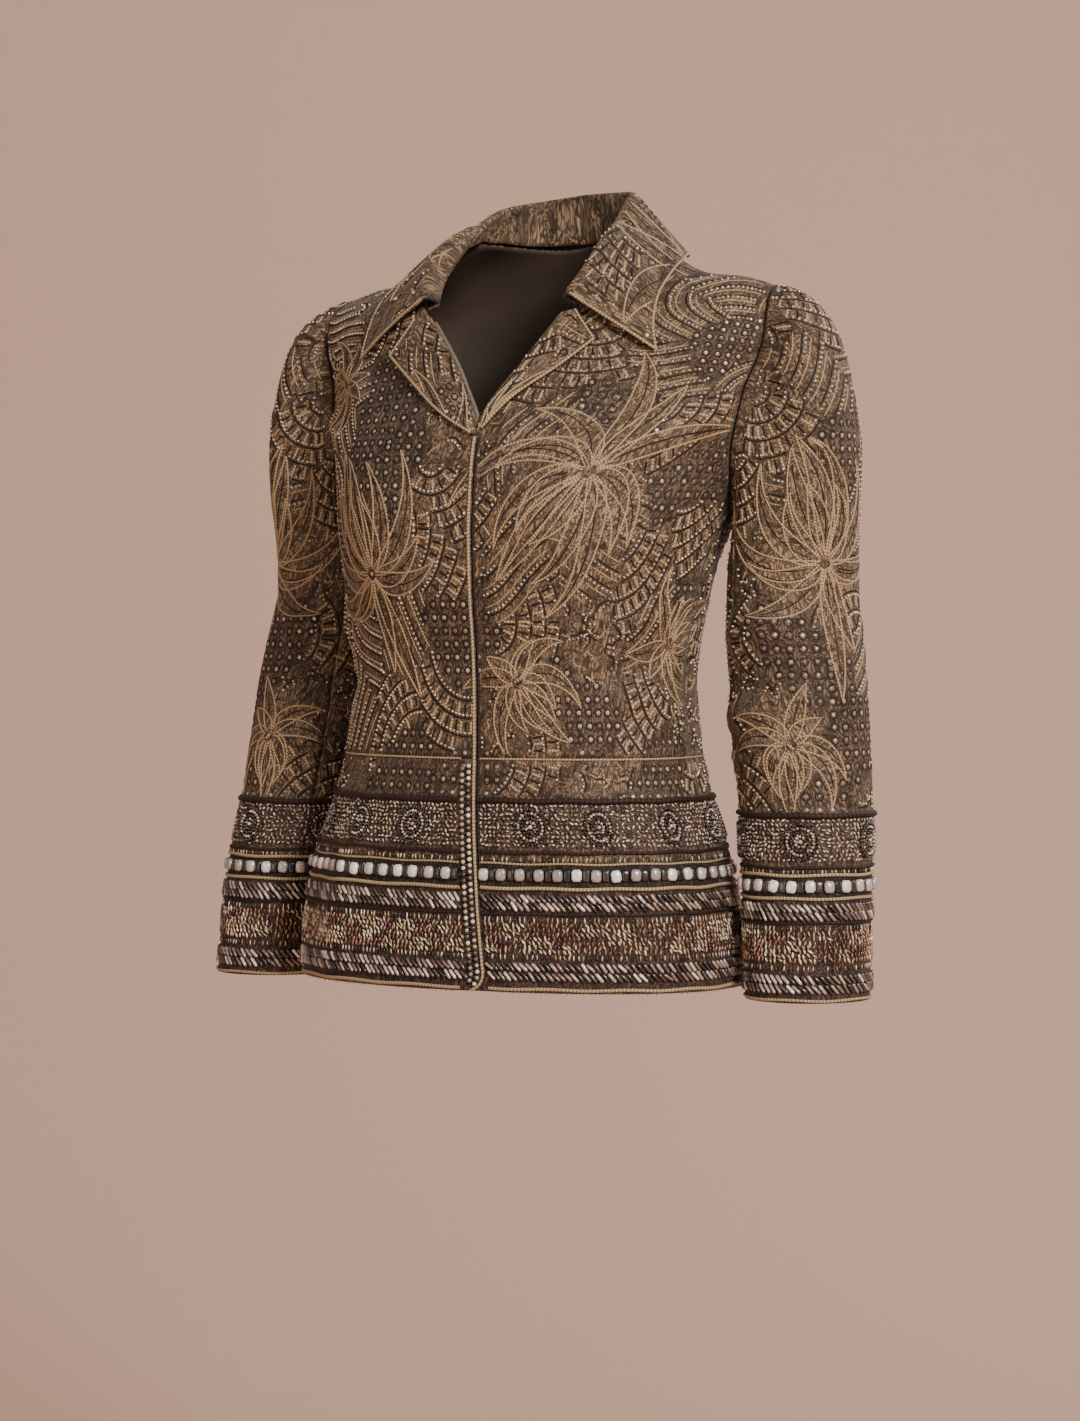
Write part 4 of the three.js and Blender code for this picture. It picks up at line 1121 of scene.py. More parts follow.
def lapel_flat(u, v, word):
    rows = LAPEL_ROWS[word]
    roll_x, roll_z, edge_x, edge_z = (smooth_column(rows[:, 0], rows[:, k], v) for k in range(1, 5))
    hat = np.where(u < NOTCH["u"], u / NOTCH["u"], (1 - u) / (1 - NOTCH["u"]))
    x = roll_x + (edge_x - roll_x) * u
    z = roll_z + (edge_z - roll_z) * u + NOTCH["rise"] * hat * v**4
    level = level_through(x, z)
    return body_point(angle_at(x, level), level)


def on_lapel(across, up, lift=0.0, word="left"):
    """across is 0 at the roll and LAPEL_WIDE at the free edge, up runs along the lapel."""
    across, up = np.broadcast_arrays(np.asarray(across, float), np.asarray(up, float))
    u, v = np.clip(across / LAPEL_WIDE, 0, 1), np.clip(up / LAPEL_LONG, 0, 1)
    surface = lambda a, b: lapel_flat(np.clip(a, 0, 1), np.clip(b, 0, 1), word)
    base, out = surface(u, v), normals(surface, u, v, 2e-3)
    bow = LAID_GAP + COLLAR_CLOTH + 2.5 * v * np.sin(np.pi * np.minimum(u, 0.5))
    mirror = np.array([-1 if word == "right" else 1, 1, 1])
    return (base + out * np.asarray(bow + lift)[..., None]) * mirror, out * mirror


for word in ("left", "right"):
    across, up = np.meshgrid(np.linspace(0, LAPEL_WIDE, 19), np.linspace(0, LAPEL_LONG, 44))
    outer, _ = on_lapel(across, up, 0.0, word)
    inner, _ = on_lapel(across, up, -COLLAR_CLOTH, word)
    place_across, place_up = across + (260 if word == "left" else -180), up - 200
    piece = wall(f"lapel_{word}_cloth", outer, inner, np.stack([across, up], -1),
                 cloth_tint("body", place_across, place_up), flip=word == "right")
    declare_cloth(piece, f"lapel_{word}")

# %% [markdown]
# The collar is one band of cloth: it stands up from the neck seam, rolls over and falls
# to its edge. Each station across it is a curve through the neck, the roll and the fall.

# %% Collar
COLLAR_NAMES = ("s", "neck_x", "neck_climb", "roll_x", "roll_y", "roll_z", "edge_x", "edge_climb")
COLLAR_ROWS = dict(zip(COLLAR_NAMES, np.array([
    (0, 0, 52, 0, 43, 28, 0, 63), (0.2, 38, 40, 33, 36, 28, 48, 49), (0.34, 58, 30, 51, 20, 26, 84, 35),
    (0.46, 67, 24, 57, 3, 21, 101, 24), (0.58, 69, 10, 60, -18, 8, 108, 8),
    (0.7, 69, -10, 60, -42, -10, 111, -18), (0.83, 66, -30, 60, -66, -31, 113, -42),
    (1, 62, -44, 54, -88, -55, 117, -71),
], dtype=float).T))
COLLAR_FOLD, STAND_GAP, FALL_BOW, FALL_GAP, RIGHT_DROP, FALL_AIR = 2.8, 1.2, 5, 1.9, 7, 3
COLLAR_HALF, COLLAR_DEEP = 200.0, 80.0


def on_climb(x, climb):
    """A body point and its outward direction, by level up the front and on down the back."""
    back = climb > SHOULDER
    level = np.where(back, 2 * SHOULDER - climb, climb)
    angle = angle_at(x, level)
    angle = np.where(back, np.pi - angle, angle)
    here = body_point(angle, level)
    out = np.cross(body_point(angle + 0.01, level) - here, here - body_point(angle, level - 0.1))
    return here, unit(out)


def centripetal(points, at):
    """A centripetal curve through points, with at running from 0 to 1 over its spans."""
    points = np.concatenate([[2 * points[0] - points[1]], points, [2 * points[-1] - points[-2]]])
    spans = len(points) - 3
    place_on = np.clip(at, 0, 1) * spans
    i = np.minimum(place_on.astype(int), spans - 1)
    f = (place_on - i)[:, None]
    p0, p1, p2, p3 = (points[i + k] for k in range(4))
    d0, d1, d2 = (np.maximum(np.linalg.norm(b - a, axis=1, keepdims=True), 1e-6)**0.5
                  for a, b in ((p0, p1), (p1, p2), (p2, p3)))
    m1 = ((p1 - p0) / d0 - (p2 - p0) / (d0 + d1) + (p2 - p1) / d1) * d1
    m2 = ((p2 - p1) / d1 - (p3 - p1) / (d1 + d2) + (p3 - p2) / d2) * d1
    return ((2 * f**3 - 3 * f**2 + 1) * p1 + (f**3 - 2 * f**2 + f) * m1
            + (3 * f**2 - 2 * f**3) * p2 + (f**3 - f**2) * m2)


def collar_curve(s, shares):
    row = {name: float(smooth_column(COLLAR_ROWS["s"], values, abs(s)))
           for name, values in COLLAR_ROWS.items()}
    if s < 0:
        row["roll_z"] -= RIGHT_DROP * math.sin(math.pi * abs(s))
    roll = np.array([row["roll_x"], row["roll_y"], row["roll_z"]])
    clear = FALL_GAP + COLLAR_CLOTH
    here, out = on_climb(row["neck_x"], row["neck_climb"])
    lying = float(smooth_step(out[2], 0.3, 0.55))
    inside = here + unit(np.array([-here[0], -here[1], 0])) * (COLLAR_CLOTH + LAID_GAP) + (0, 0, LAID_GAP)
    neck = here - out * CLOTH
    upward = unit(roll - neck)
    neck = (neck + upward * STAND_GAP) * (1 - lying) + inside * lying
    rim, rim_out = on_climb(row["edge_x"], row["edge_climb"])
    edge = rim + rim_out * clear
    down = unit(edge - roll)
    over_top = unit(upward - down)
    points = [neck, neck * 0.4 + roll * 0.6 - down, roll - down * COLLAR_FOLD, roll + over_top * COLLAR_FOLD]
    over = roll + upward * COLLAR_FOLD + down * COLLAR_FOLD
    for f in np.arange(6) / 6:
        here, out = on_climb(row["neck_x"] + (row["edge_x"] - row["neck_x"]) * f,
                             row["neck_climb"] + (row["edge_climb"] - row["neck_climb"]) * f)
        point = over * (1 - f) + edge * f + over_top * FALL_BOW * f * (1 - f)
        height = float(np.dot(point - here, out))
        points.append(point + out * max(clear + FALL_AIR * (1 - f) - height, 0))
    curve = centripetal(np.array(points + [edge]), shares)
    return curve * np.array([-1, 1, 1]) if s < 0 else curve


collar_shares = np.linspace(0, 1, 61)
collar_across = np.linspace(-1, 1, 131)
collar_base = np.stack([collar_curve(s, collar_shares) for s in collar_across], axis=1)
collar_out = unit(np.cross(np.gradient(collar_base, axis=1), np.gradient(collar_base, axis=0)))
collar_outer = collar_base + collar_out * COLLAR_CLOTH


def on_collar(across, up, lift=0.0):
    """across is up to COLLAR_HALF either way, up falls from 0 at the neck to -COLLAR_DEEP."""
    i = np.clip((np.asarray(across) / COLLAR_HALF + 1) / 2, 0, 0.9999) * (len(collar_across) - 1)
    j = np.clip(-np.asarray(up) / COLLAR_DEEP, 0, 0.9999) * (len(collar_shares) - 1)
    i0, j0 = i.astype(int), j.astype(int)
    fi, fj = (i - i0)[..., None], (j - j0)[..., None]
    pick = lambda grid: ((grid[j0, i0] * (1 - fi) + grid[j0, i0 + 1] * fi) * (1 - fj)
                         + (grid[j0 + 1, i0] * (1 - fi) + grid[j0 + 1, i0 + 1] * fi) * fj)
    out = unit(pick(collar_out))
    return pick(collar_outer) + out * np.asarray(lift)[..., None], out


across, up = np.meshgrid(collar_across * COLLAR_HALF, -collar_shares * COLLAR_DEEP)
collar_piece = wall("collar_cloth_piece", collar_outer, collar_base, np.stack([across, up], -1),
                    cloth_tint("body", across, up - 250))
declare_cloth(collar_piece, "collar")

# %% [markdown]
# The embroidery is sewn on panel by panel. A field's line is kept only where it lies on
# the panel and clear of the blooms, and every kept run becomes a cord with a low section.

# %% Areas that carry embroidery
CORD_SECTION = np.array([(-0.5, 0.0), (-0.28, 0.85), (0.28, 0.85), (0.5, 0.0)])
STITCH_SECTION = np.array([(-0.5, 0.0), (0.0, 1.0), (0.5, 0.0)])


def clipped(lines, keep, shortest=3):
    """The runs of flat lines whose points are all kept, tested in one call."""
    lines = [line for line in lines if len(line)]
    if not lines:
        return []
    flat = np.concatenate(lines)
    kept = keep(flat[:, 0], flat[:, 1])
    ends = np.cumsum([len(line) for line in lines])[:-1]
    found = []
    for line, flags in zip(lines, np.split(kept, ends)):
        found += runs(line, flags, shortest)
    return found


def ribbons(gather, place, lines, width, height, section=CORD_SECTION, sink=0.25, taper=0.5):
    """Low cords along flat lines, all placed in one call."""
    if not lines:
        return
    flat = np.concatenate(lines)
    worn, outward = place(flat[:, 0], flat[:, 1], 0.0)
    ends = np.cumsum([len(line) for line in lines])[:-1]
    k = len(section)
    for spine, out in zip(np.split(worn, ends), np.split(outward, ends)):
        along = unit(np.gradient(spine, axis=0))
        across = unit(np.cross(along, out))
        narrow = np.ones(len(spine))
        narrow[[0, -1]] = taper
        sideways = (section[:, 0] * width)[None, :, None] * narrow[:, None, None]
        points = (spine[:, None] + across[:, None] * sideways
                  + out[:, None] * (section[:, 1] * height - sink)[None, :, None])
        run = run_of(spine)
        uv = np.stack(np.broadcast_arrays(run[:, None], np.linspace(0, 1000, k)[None]), -1)
        i, j = np.meshgrid(np.arange(len(spine) - 1), np.arange(k - 1), indexing="ij")
        a = (i * k + j).ravel()
        gather.add(points, np.stack([a, a + k, a + k + 1, a + 1], 1), uv)


def beside(lines, aside, pitch):
    """Flat spots in an even row at one side of each line, thinned where rows run together."""
    rows = [np.zeros((0, 2))]
    for line in lines:
        line = step_line(line, pitch)
        rows.append(line + aside * unit(np.gradient(line, axis=0))[:, ::-1] * (-1, 1))
    spots = np.concatenate(rows)
    _, first_in_cell = np.unique(np.round(spots / (0.9 * pitch)), axis=0, return_index=True)
    return spots[np.sort(first_in_cell)]


FIELD_FOOT, FIELD_HEAD = -402, SHOULDER - 1.5


def inside_panel(low, high, margin, bottom, top):
    """A test for flat points on a body panel, clear of its edges."""
    def keep(across, up):
        return ((across > low(up) + margin) & (across < high(up) - margin)
                & (up > bottom) & (up < top) & (np.abs(up - WAIST + 0.5) > 2.6))
    return keep


def back_keep(across, up):
    top = neckline(np.abs(ring_column("half", up) * np.sin(across / FLAT_RADIUS)), SHOULDER)
    return inside_panel(*PANEL_EDGES["back"], 1.5, FIELD_FOOT, SHOULDER)(across, up) & (up < top - 3)


def sleeve_keep(across, up):
    front_turn, back_turn = UNDER_SLEEVE * SLEEVE_RADIUS
    seam_front = np.abs(wrapped("sleeve", across - front_turn)) > 1.5
    seam_back = np.abs(wrapped("sleeve", across - back_turn)) > 1.5
    return (up > -150) & (up < cap_length(across) - 3) & seam_front & seam_back


def lapel_keep(across, up):
    return (across > 1) & (across < LAPEL_WIDE - 2.5) & (up > 5) & (up < LAPEL_LONG - 2.5)


def collar_keep(across, up):
    return (np.abs(across) < COLLAR_HALF - 3) & (up < -29) & (up > -COLLAR_DEEP + 2.5)


def shifted(place, across_by, up_by, **more):
    return lambda across, up, lift=0.0: place(across - across_by, up - up_by, lift, **more)


def moved(keep, across_by, up_by):
    return lambda across, up: keep(across - across_by, up - up_by)


RIGHT_EDGES = PANEL_EDGES["front_right"]
LEFT_LOW = lambda up: edge_across(np.where(up > BREAK, left_edge_x(up), over_edge(up) + 0.8), up)
LEFT_EDGES = (LEFT_LOW, PANEL_EDGES["front_left"][1])
AREAS = (
    # name, pattern, place, keep, slot
    ("right_front", "body", on_body, inside_panel(*RIGHT_EDGES, 1.8, FIELD_FOOT, FIELD_HEAD), "bodice_cloth"),
    ("left_front", "body", lambda a, h, lift=0.0: on_body(a, h, lift, True),
     inside_panel(*LEFT_EDGES, 1.5, FIELD_FOOT, FIELD_HEAD), "bodice_cloth"),
    ("back", "body", on_body, back_keep, "bodice_cloth"),
    ("left_sleeve", "sleeve", on_sleeve, sleeve_keep, "sleeve_cloth"),
    ("right_sleeve", "sleeve", lambda a, h, lift=0.0: on_sleeve(a, h, lift, -1), sleeve_keep,
     "sleeve_cloth"),
    ("left_lapel", "body", shifted(on_lapel, 290, -150), moved(lapel_keep, 290, -150), "collar_cloth"),
    ("right_lapel", "body", shifted(on_lapel, -160, -260, word="right"), moved(lapel_keep, -160, -260),
     "collar_cloth"),
    ("collar", "body", shifted(on_collar, 0, -80), moved(collar_keep, 0, -80), "collar_cloth"),
)

# %% [markdown]
# Each area gets three pieces: beige cords, dark stitches, and the dots and specks of bead.
# The back lies across both ends of the body's pattern, so lines from the negative end
# are moved on by one whole round.

# %% Cords and stitches
DOT_BEADS = ((0.30, 0.21, 0.135), (0.42, 0.32, 0.22), (0.15, 0.10, 0.07))
SPECK_BEADS = ((0.42, 0.31, 0.20), (0.56, 0.45, 0.33))
EIGHTHS = np.arange(9) * np.pi / 4
RING = 3.0 * np.stack([np.cos(EIGHTHS), np.sin(EIGHTHS)], -1)
LINES = {kind: field_lines(kind) for kind in FIELDS}
BLOOM_LINES = {kind: bloom_lines(kind) for kind in FIELDS}
for area, kind, place, keep, slot in AREAS:
    beige, dark, bars, dots = LINES[kind]
    outlines, inner = BLOOM_LINES[kind]
    if area == "back":
        turned = lambda lines: [line + (ROUND[kind] * (line[:, :1].mean() < 0), 0) for line in lines]
        beige, dark, bars = turned(beige), turned(dark), turned(bars)
        outlines, inner = turned(outlines), turned(inner)
        dots = dots + np.where(dots[:, :1] < 0, (ROUND[kind], 0), (0, 0))
    plain = lambda a, h: keep(a, h) & (bloom_depth(kind, a, h) < -0.05)
    cords, stitches, rings = Gather(), Gather(), Gather()
    ribbons(cords, place, clipped(beige, plain), 1.1, 0.75)
    ribbons(cords, place, clipped(outlines, keep), 1.4, 1.0, sink=0.3)
    ribbons(stitches, place, clipped(inner, keep), 1.2, 0.5, STITCH_SECTION, 0.1)
    ribbons(cords, place, clipped(bars[::2], plain), 2.2, 0.9, taper=0.8)
    ribbons(stitches, place, clipped(bars[1::2], plain), 2.0, 0.7, taper=0.8)
    ribbons(stitches, place, clipped(dark, plain), 1.7, 0.6, STITCH_SECTION, 0.1)
    spots = dots[plain(dots[:, 0], dots[:, 1])]
    circles = clipped([spot + RING for spot in spots], keep, len(RING))
    ribbons(stitches, place, circles, 1.1, 0.5, STITCH_SECTION, 0.1, 1.0)
    strew(rings, place, spots, "dot", (3.6, 3.6, 0.8), 0.0, -0.15, shades(len(spots), DOT_BEADS))
    specks = beside(clipped(dark, plain), 2.4, 3.6)
    specks = specks[plain(specks[:, 0], specks[:, 1])]
    strew(rings, place, specks, "speck", (2.0, 2.0, 1.1), 0.0, 0.0, shades(len(specks), SPECK_BEADS))
    cords.build(f"{area}_cords", "beige cord", slot)
    stitches.build(f"{area}_stitches", "dark stitch", slot)
    rings.build(f"{area}_ring_dots", "glass beads", slot)

# %% [markdown]
# The borders run round the hem and round each cuff. From the top they hold a dark braid, a
# subdued field of small beads, a row of light and dark squares between pale lines, a rope
# of slanted bugles, a field in rust, maroon and gold, a second rope and the edge. Thinner
# dark braids and lines of fine upright beads, here called ticks, part them.
# Beads are spaced by true distance round the garment, so none bunch at the sides.

# %% Tracks round the hem and the cuffs
LEFT_FRONT_END = 200


def hem_place(across, up, lift=0.0):
    """Places points round the skirt, where the left front is set in under the right one."""
    across = np.asarray(across, float)
    near_left = across < LEFT_FRONT_END
    a_points, a_out = on_body(across, up, lift, True)
    b_points, b_out = on_body(across, up, lift, False)
    pick = np.broadcast_to(near_left, a_points.shape[:-1])[..., None]
    return np.where(pick, a_points, b_points), np.where(pick, a_out, b_out)


def hem_track(level, start=1.6, strip=13.5):
    """Fine steps across from the closure round by the left side and back to the closure."""
    level = float(level)
    first = float(edge_across(over_edge(level) + start, level))
    last = ROUND["body"] + float(edge_across(right_edge_x(level) - strip, level))
    return np.linspace(first, last, 700)


def cuff_track(_level):
    """Fine steps round the cuff, which are the same at every level."""
    return np.linspace(-ROUND["sleeve"] / 2, ROUND["sleeve"] / 2, 400)


def cuff_place(side):
    """Places points on one sleeve by their level, where on_sleeve counts up from the cap."""
    return lambda across, up, lift=0.0: on_sleeve(across, np.asarray(up) - CAP_END, lift, side)


def even_spots(place, track, level, pitch, offset=0.0, wander=0.0):
    """Flat spots at one level, pitch millimetres apart on the worn cloth."""
    worn, _ = place(track, np.full_like(track, level), 0.0)
    run = run_of(worn)
    count = max(int(round((run[-1] - pitch) / pitch)), 1)
    at = (np.arange(count) + 0.5 + offset) * run[-1] / count
    at = np.clip(at + rng.normal(0, 1, count) * wander, 0, run[-1])
    across = np.interp(at, run, track)
    return np.stack([across, np.full(count, float(level))], -1)


BORDERS = {
    # level and radius of cords, level and pitch of squares, level and length of ticks, the
    # two levels of each rope, and the top and foot of both fields
    "hem": {
        "braids": ((-404, 1.7), (-439.5, 1.1), (-481.8, 0.8)),
        "pale": ((-464.2, 1.2), (-447.2, 0.7), (-533.6, 1.1)),
        "squares": (-455.0, 13.4),
        "ticks": ((-444.4, 3.4), (-486.0, 4.4), (-511.5, 3.6)),
        "ropes": ((-471.2, -476.6), (-518.4, -524.8)),
        "upper": (-407.5, -437.0),
        "lower": (-489.5, -509.0),
    },
    "cuff": {
        "braids": ((-414, 1.7), (-449.8, 1.0), (-487.6, 0.8)),
        "pale": ((-455, 1.1), (-471, 1.1), (-540.2, 0.9)),
        "squares": (-462.8, 12.6),
        "ticks": ((-452.6, 3.0), (-491.6, 4.2), (-518.5, 3.6)),
        "ropes": ((-477.6, -483.2), (-526.2, -532.6)),
        "upper": (-417.5, -447.5),
        "lower": (-495.0, -516.0),
    },
}
PALE_BEADS = ((0.76, 0.68, 0.60), (0.56, 0.47, 0.40), (0.84, 0.77, 0.70), (0.34, 0.28, 0.23))
DARK_BEADS = ((0.030, 0.022, 0.020), (0.050, 0.036, 0.030), (0.018, 0.014, 0.013))
ROPE_BEADS = ((0.38, 0.27, 0.21), (0.20, 0.13, 0.10), (0.09, 0.055, 0.045), (0.58, 0.46, 0.37),
              (0.045, 0.028, 0.024))
UPPER_BEADS = ((0.56, 0.41, 0.31), (0.32, 0.22, 0.155), (0.70, 0.55, 0.42), (0.09, 0.055, 0.041),
               (0.49, 0.38, 0.30))
RUST_BEADS = ((0.33, 0.155, 0.08), (0.23, 0.094, 0.05), (0.13, 0.054, 0.034), (0.45, 0.27, 0.16))
GOLD_BEADS = ((0.52, 0.365, 0.22), (0.65, 0.495, 0.33), (0.36, 0.23, 0.13), (0.76, 0.63, 0.48))
MAROON_BEADS = ((0.27, 0.15, 0.10), (0.15, 0.075, 0.054), (0.41, 0.265, 0.185), (0.06, 0.031, 0.024))


def patch_noise(across, up, seed):
    """A smooth value from -1 to 1 that splits a field into patches of like colour."""
    return (0.8 * np.sin(across / 17.3 + seed) * np.cos(up / 9.0 + seed * 1.7)
            + 0.6 * np.sin(across / 7.1 + 2.1 * np.sin(across / 29.0) + up / 6.0)
            + 0.5 * np.sin(across / 4.3 - up / 4.0 + seed * 3.1)) / 1.5


def bead_field(gather, place, track_of, top, bottom, lower, seed):
    """A field of small beads packed row by row, in patches of like colour and slant."""
    for row, level in enumerate(np.arange(top, bottom, -3.0)):
        spots = even_spots(place, track_of(level), level, 3.5, 0.25 * (row % 2), 0.35)
        spots[:, 1] += rng.normal(0, 0.4, len(spots))
        noise = patch_noise(spots[:, 0], spots[:, 1], seed)
        count = len(spots)
        if lower:
            gold, rust, maroon = (shades(count, beads) for beads in (GOLD_BEADS, RUST_BEADS, MAROON_BEADS))
            tints = np.where((noise > 0.05)[:, None], gold, np.where((noise < -0.38)[:, None], rust, maroon))
            turns = np.pi / 2 + np.where(noise > 0.05, 0.45, -0.1) + rng.normal(0, 0.3, count)
            size = bead_sizes(count, (3.0, 4.6), (1.5, 2.0), 1.9)
        else:
            gold, plain_beads = shades(count, GOLD_BEADS) * 0.7, shades(count, UPPER_BEADS)
            tints = np.where((noise > 0.4)[:, None], gold, plain_beads)
            turns = 2.4 * noise + rng.normal(0, 0.35, count)
            size = bead_sizes(count, (1.7, 3.2), (1.4, 1.9), 1.5)
        strew(gather, place, spots, "seed", size, turns, 0.75, tints)


def border(word, table, place, track_of, slot):
    """Everything of one border except its row of squares."""
    braids, pale, ropes, fields = Gather(), Gather(), Gather(), Gather()
    for gather, rows in ((braids, table["braids"]), (pale, table["pale"])):
        for level, radius in rows:
            track = track_of(level)
            wobble = 0.35 * np.sin(track / 9.0 + level)
            spine, _ = place(track, level + wobble, radius * 0.55)
            tube(gather, step_line(spine, 2.4), radius * 1.15)
    for first, second in table["ropes"]:
        for part, level in enumerate((first, second)):
            spots = even_spots(place, track_of(level), level, 4.3, 0.2 * part, 0.12)
            count = len(spots)
            size = bead_sizes(count, 7.8, (2.2, 2.7), 2.5)
            turns = -0.82 + rng.normal(0, 0.09, count)
            strew(ropes, place, spots, "bugle", size, turns, 1.2, shades(count, ROPE_BEADS, 0.25))
    for level, long in table["ticks"]:
        spots = even_spots(place, track_of(level), level, 3.3, 0.0, 0.3)
        count = len(spots)
        size = bead_sizes(count, long, (1.0, 1.3), 1.2)
        is_gold = (rng.random(count) < 0.55)[:, None]
        picked = np.where(is_gold, shades(count, GOLD_BEADS), shades(count, DARK_BEADS))
        strew(fields, place, spots, "seed", size, np.pi / 2 + rng.normal(0, 0.12, count), 0.5, picked)
    bead_field(fields, place, track_of, *table["upper"], False, 1.3)
    bead_field(ropes, place, track_of, *table["lower"], True, 4.1)
    braids.build(f"{word}_braids", "dark braid", slot)
    pale.build(f"{word}_pale_lines", "pale piping", slot)
    ropes.build(f"{word}_bright_beads", "glass beads", slot)
    fields.build(f"{word}_fine_beads", "glass beads", slot)


def square_row(place, track, level, pitch, span=(-np.inf, np.inf)):
    """Light domed squares with dark ones between them, over a span of the track."""
    gather = Gather()
    spots = even_spots(place, track, level, pitch / 2)
    spots = spots[(spots[:, 0] > span[0]) & (spots[:, 0] < span[1])]
    light = spots[::2] + rng.normal(0, 0.25, (len(spots[::2]), 2))
    dark = spots[1::2]
    strew(gather, place, light, "pearl", (7.2, 8.4, 3.4), rng.normal(0, 0.08, len(light)), 0.5,
          shades(len(light), PALE_BEADS, 0.12))
    strew(gather, place, dark, "square", (4.6, 8.0, 1.8), 0.0, 0.4, shades(len(dark), DARK_BEADS))
    return gather


# %% [markdown]
# Both borders are made with the same functions. The rows of squares replace pieces of the
# CAD part, one for each skirt panel and one for each cuff.

# %% Hem and cuff borders
QUARTER = HALF_ROUND / 2
border("hem", BORDERS["hem"], hem_place, hem_track, "peplum_cloth")
level, pitch = BORDERS["hem"]["squares"]
for node_name, span in (("bead_row_left", (0, QUARTER)), ("bead_row_back", (QUARTER, 3 * QUARTER)),
                        ("bead_row_right", (3 * QUARTER, 6 * QUARTER))):
    row = square_row(hem_place, hem_track(level), level, pitch, span)
    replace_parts(row.build(f"{node_name}_squares", "glass beads", "square_beads"), node_name)
for side, word in SIDES:
    place = cuff_place(side)
    border(f"{word}_cuff", BORDERS["cuff"], place, cuff_track, "sleeve_cloth")
    level, pitch = BORDERS["cuff"]["squares"]
    row = square_row(place, cuff_track(level), level, pitch)
    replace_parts(row.build(f"cuff_beads_{word}_squares", "glass beads", "square_beads"), f"cuff_beads_{word}")

# %% [markdown]
# Two columns of round beads run down the free edge of the right front and turn with its
# rounded corner. They are sewn just inside the piped edge.

# %% Bead columns on the front edge
EDGE_BEADS = ROPE_BEADS[:4] + GOLD_BEADS[1:]
strip = Gather()
for column, inset in enumerate((4.2, 9.2)):
    levels = np.arange(-380.5 - 2.0 * column, -533, -4.3)
    x = right_edge_x(levels) - inset
    spots = np.stack([edge_across(x, levels), levels], -1)
    count = len(spots)
    strew(strip, on_body, spots, "round", (3.3, 3.3, 2.6), 0.0, 0.6, shades(count, EDGE_BEADS, 0.25))
    between = spots + (0, -2.15)
    strew(strip, on_body, between[:-1], "seed", (3.8, 1.3, 1.6), 0.0, 0.8, shades(count - 1, DARK_BEADS))
levels = np.arange(-380.5, -530, -3.1)
middle = np.stack([edge_across(right_edge_x(levels) - 6.7, levels), levels], -1)
strew(strip, on_body, middle, "seed", (2.6, 1.3, 1.8), np.pi / 2, 0.8, shades(len(middle), DARK_BEADS))
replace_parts(strip.build("front_bead_strip_beads", "glass beads", "edge_beads"), "front_bead_strip")

# %% [markdown]
# Pale piping finishes the closure, the lapels, the collar and the waist seam. Thin dark
# cords sit in the armholes and in the sleeve and side seams. A thin dark cord beside the
# closure, on the left front, is painted shadow of the right front's edge lying over it.

# %% Piping and seams
PIPE_STEP = 2.5
pale_pipe, dark_seam_and_shadow_cords = Gather(), Gather()


def pipe(gather, place, across, up, radius, lift=0.2):
    """A cord along flat points, its axis lift mm above the cloth."""
    spine, _ = place(np.asarray(across, float), np.asarray(up, float), lift)
    tube(gather, step_line(spine, PIPE_STEP), radius)


levels = np.linspace(HEM + 0.5, BREAK, 180)
pipe(pale_pipe, on_body, edge_across(right_edge_x(levels) - 0.9, levels), levels, 1.1)
# A thin dark cord on the left front just beside the closure edge: painted shadow of the right front's edge
beside_edge = levels[levels > BREAK - 315]
pipe(dark_seam_and_shadow_cords, lambda a, h, lift: on_body(a, h, lift, True),
     edge_across(right_edge_x(beside_edge) + 1.5, beside_edge), beside_edge, 1.0, 0.3)
waist_track = np.linspace(float(edge_across(over_edge(WAIST) + 0.6, WAIST)), HALF_ROUND * 1.999, 500)
pipe(pale_pipe, hem_place, waist_track, np.full(500, WAIST - 0.2), 0.8, 0.0)
for word in ("left", "right"):
    v = np.linspace(2, LAPEL_LONG, 60)
    place = lambda a, h, lift=0.0, word=word: on_lapel(a, h, lift, word)
    pipe(pale_pipe, place, np.full(60, LAPEL_WIDE - 0.4), v, 1.0)
    pipe(pale_pipe, place, np.linspace(0.4 * LAPEL_WIDE, LAPEL_WIDE, 20), np.full(20, LAPEL_LONG - 0.6), 0.9)
around = np.linspace(-COLLAR_HALF, COLLAR_HALF, 260)
pipe(pale_pipe, on_collar, around, np.full(260, -COLLAR_DEEP + 0.6), 0.9, -0.2)
for end in (-1, 1):
    fall = np.linspace(-34, -COLLAR_DEEP, 40)
    pipe(pale_pipe, on_collar, np.full(40, end * (COLLAR_HALF - 1.0)), fall, 1.1, -0.2)
for side in (1, -1):
    place = lambda a, h, lift=0.0, side=side: on_sleeve(a, h, lift, side)
    turn = np.linspace(-ROUND["sleeve"] / 2, ROUND["sleeve"] / 2, 160)
    pipe(dark_seam_and_shadow_cords, place, turn, cap_length(turn) - 1.0, 0.9, -0.6)
    for seam in UNDER_SLEEVE * SLEEVE_RADIUS:
        up_seam = np.linspace(CUFF - CAP_END, float(cap_length(seam)) - 2, 200)
        pipe(dark_seam_and_shadow_cords, place, np.full(200, seam), up_seam, 0.4, -0.5)
levels = np.linspace(WAIST, ARMPIT, 60)
for seam in (QUARTER, 3 * QUARTER):
    pipe(dark_seam_and_shadow_cords, hem_place, np.full(60, seam), levels, 0.4, -0.5)
pale_pipe.build("pale_edge_piping", "pale piping", "bodice_cloth")
# This mesh holds the dark seam cords and also the painted shadow cord beside the closure
dark_seam_and_shadow_cords.build("dark_seam_cords_and_closure_shadow", "dark braid", "bodice_cloth")

# %% [markdown]
# Small extras of the real finish: rosettes of concentric beads in the upper field, a narrow
# tape inside the right neckline, and short frayed threads along the hem.

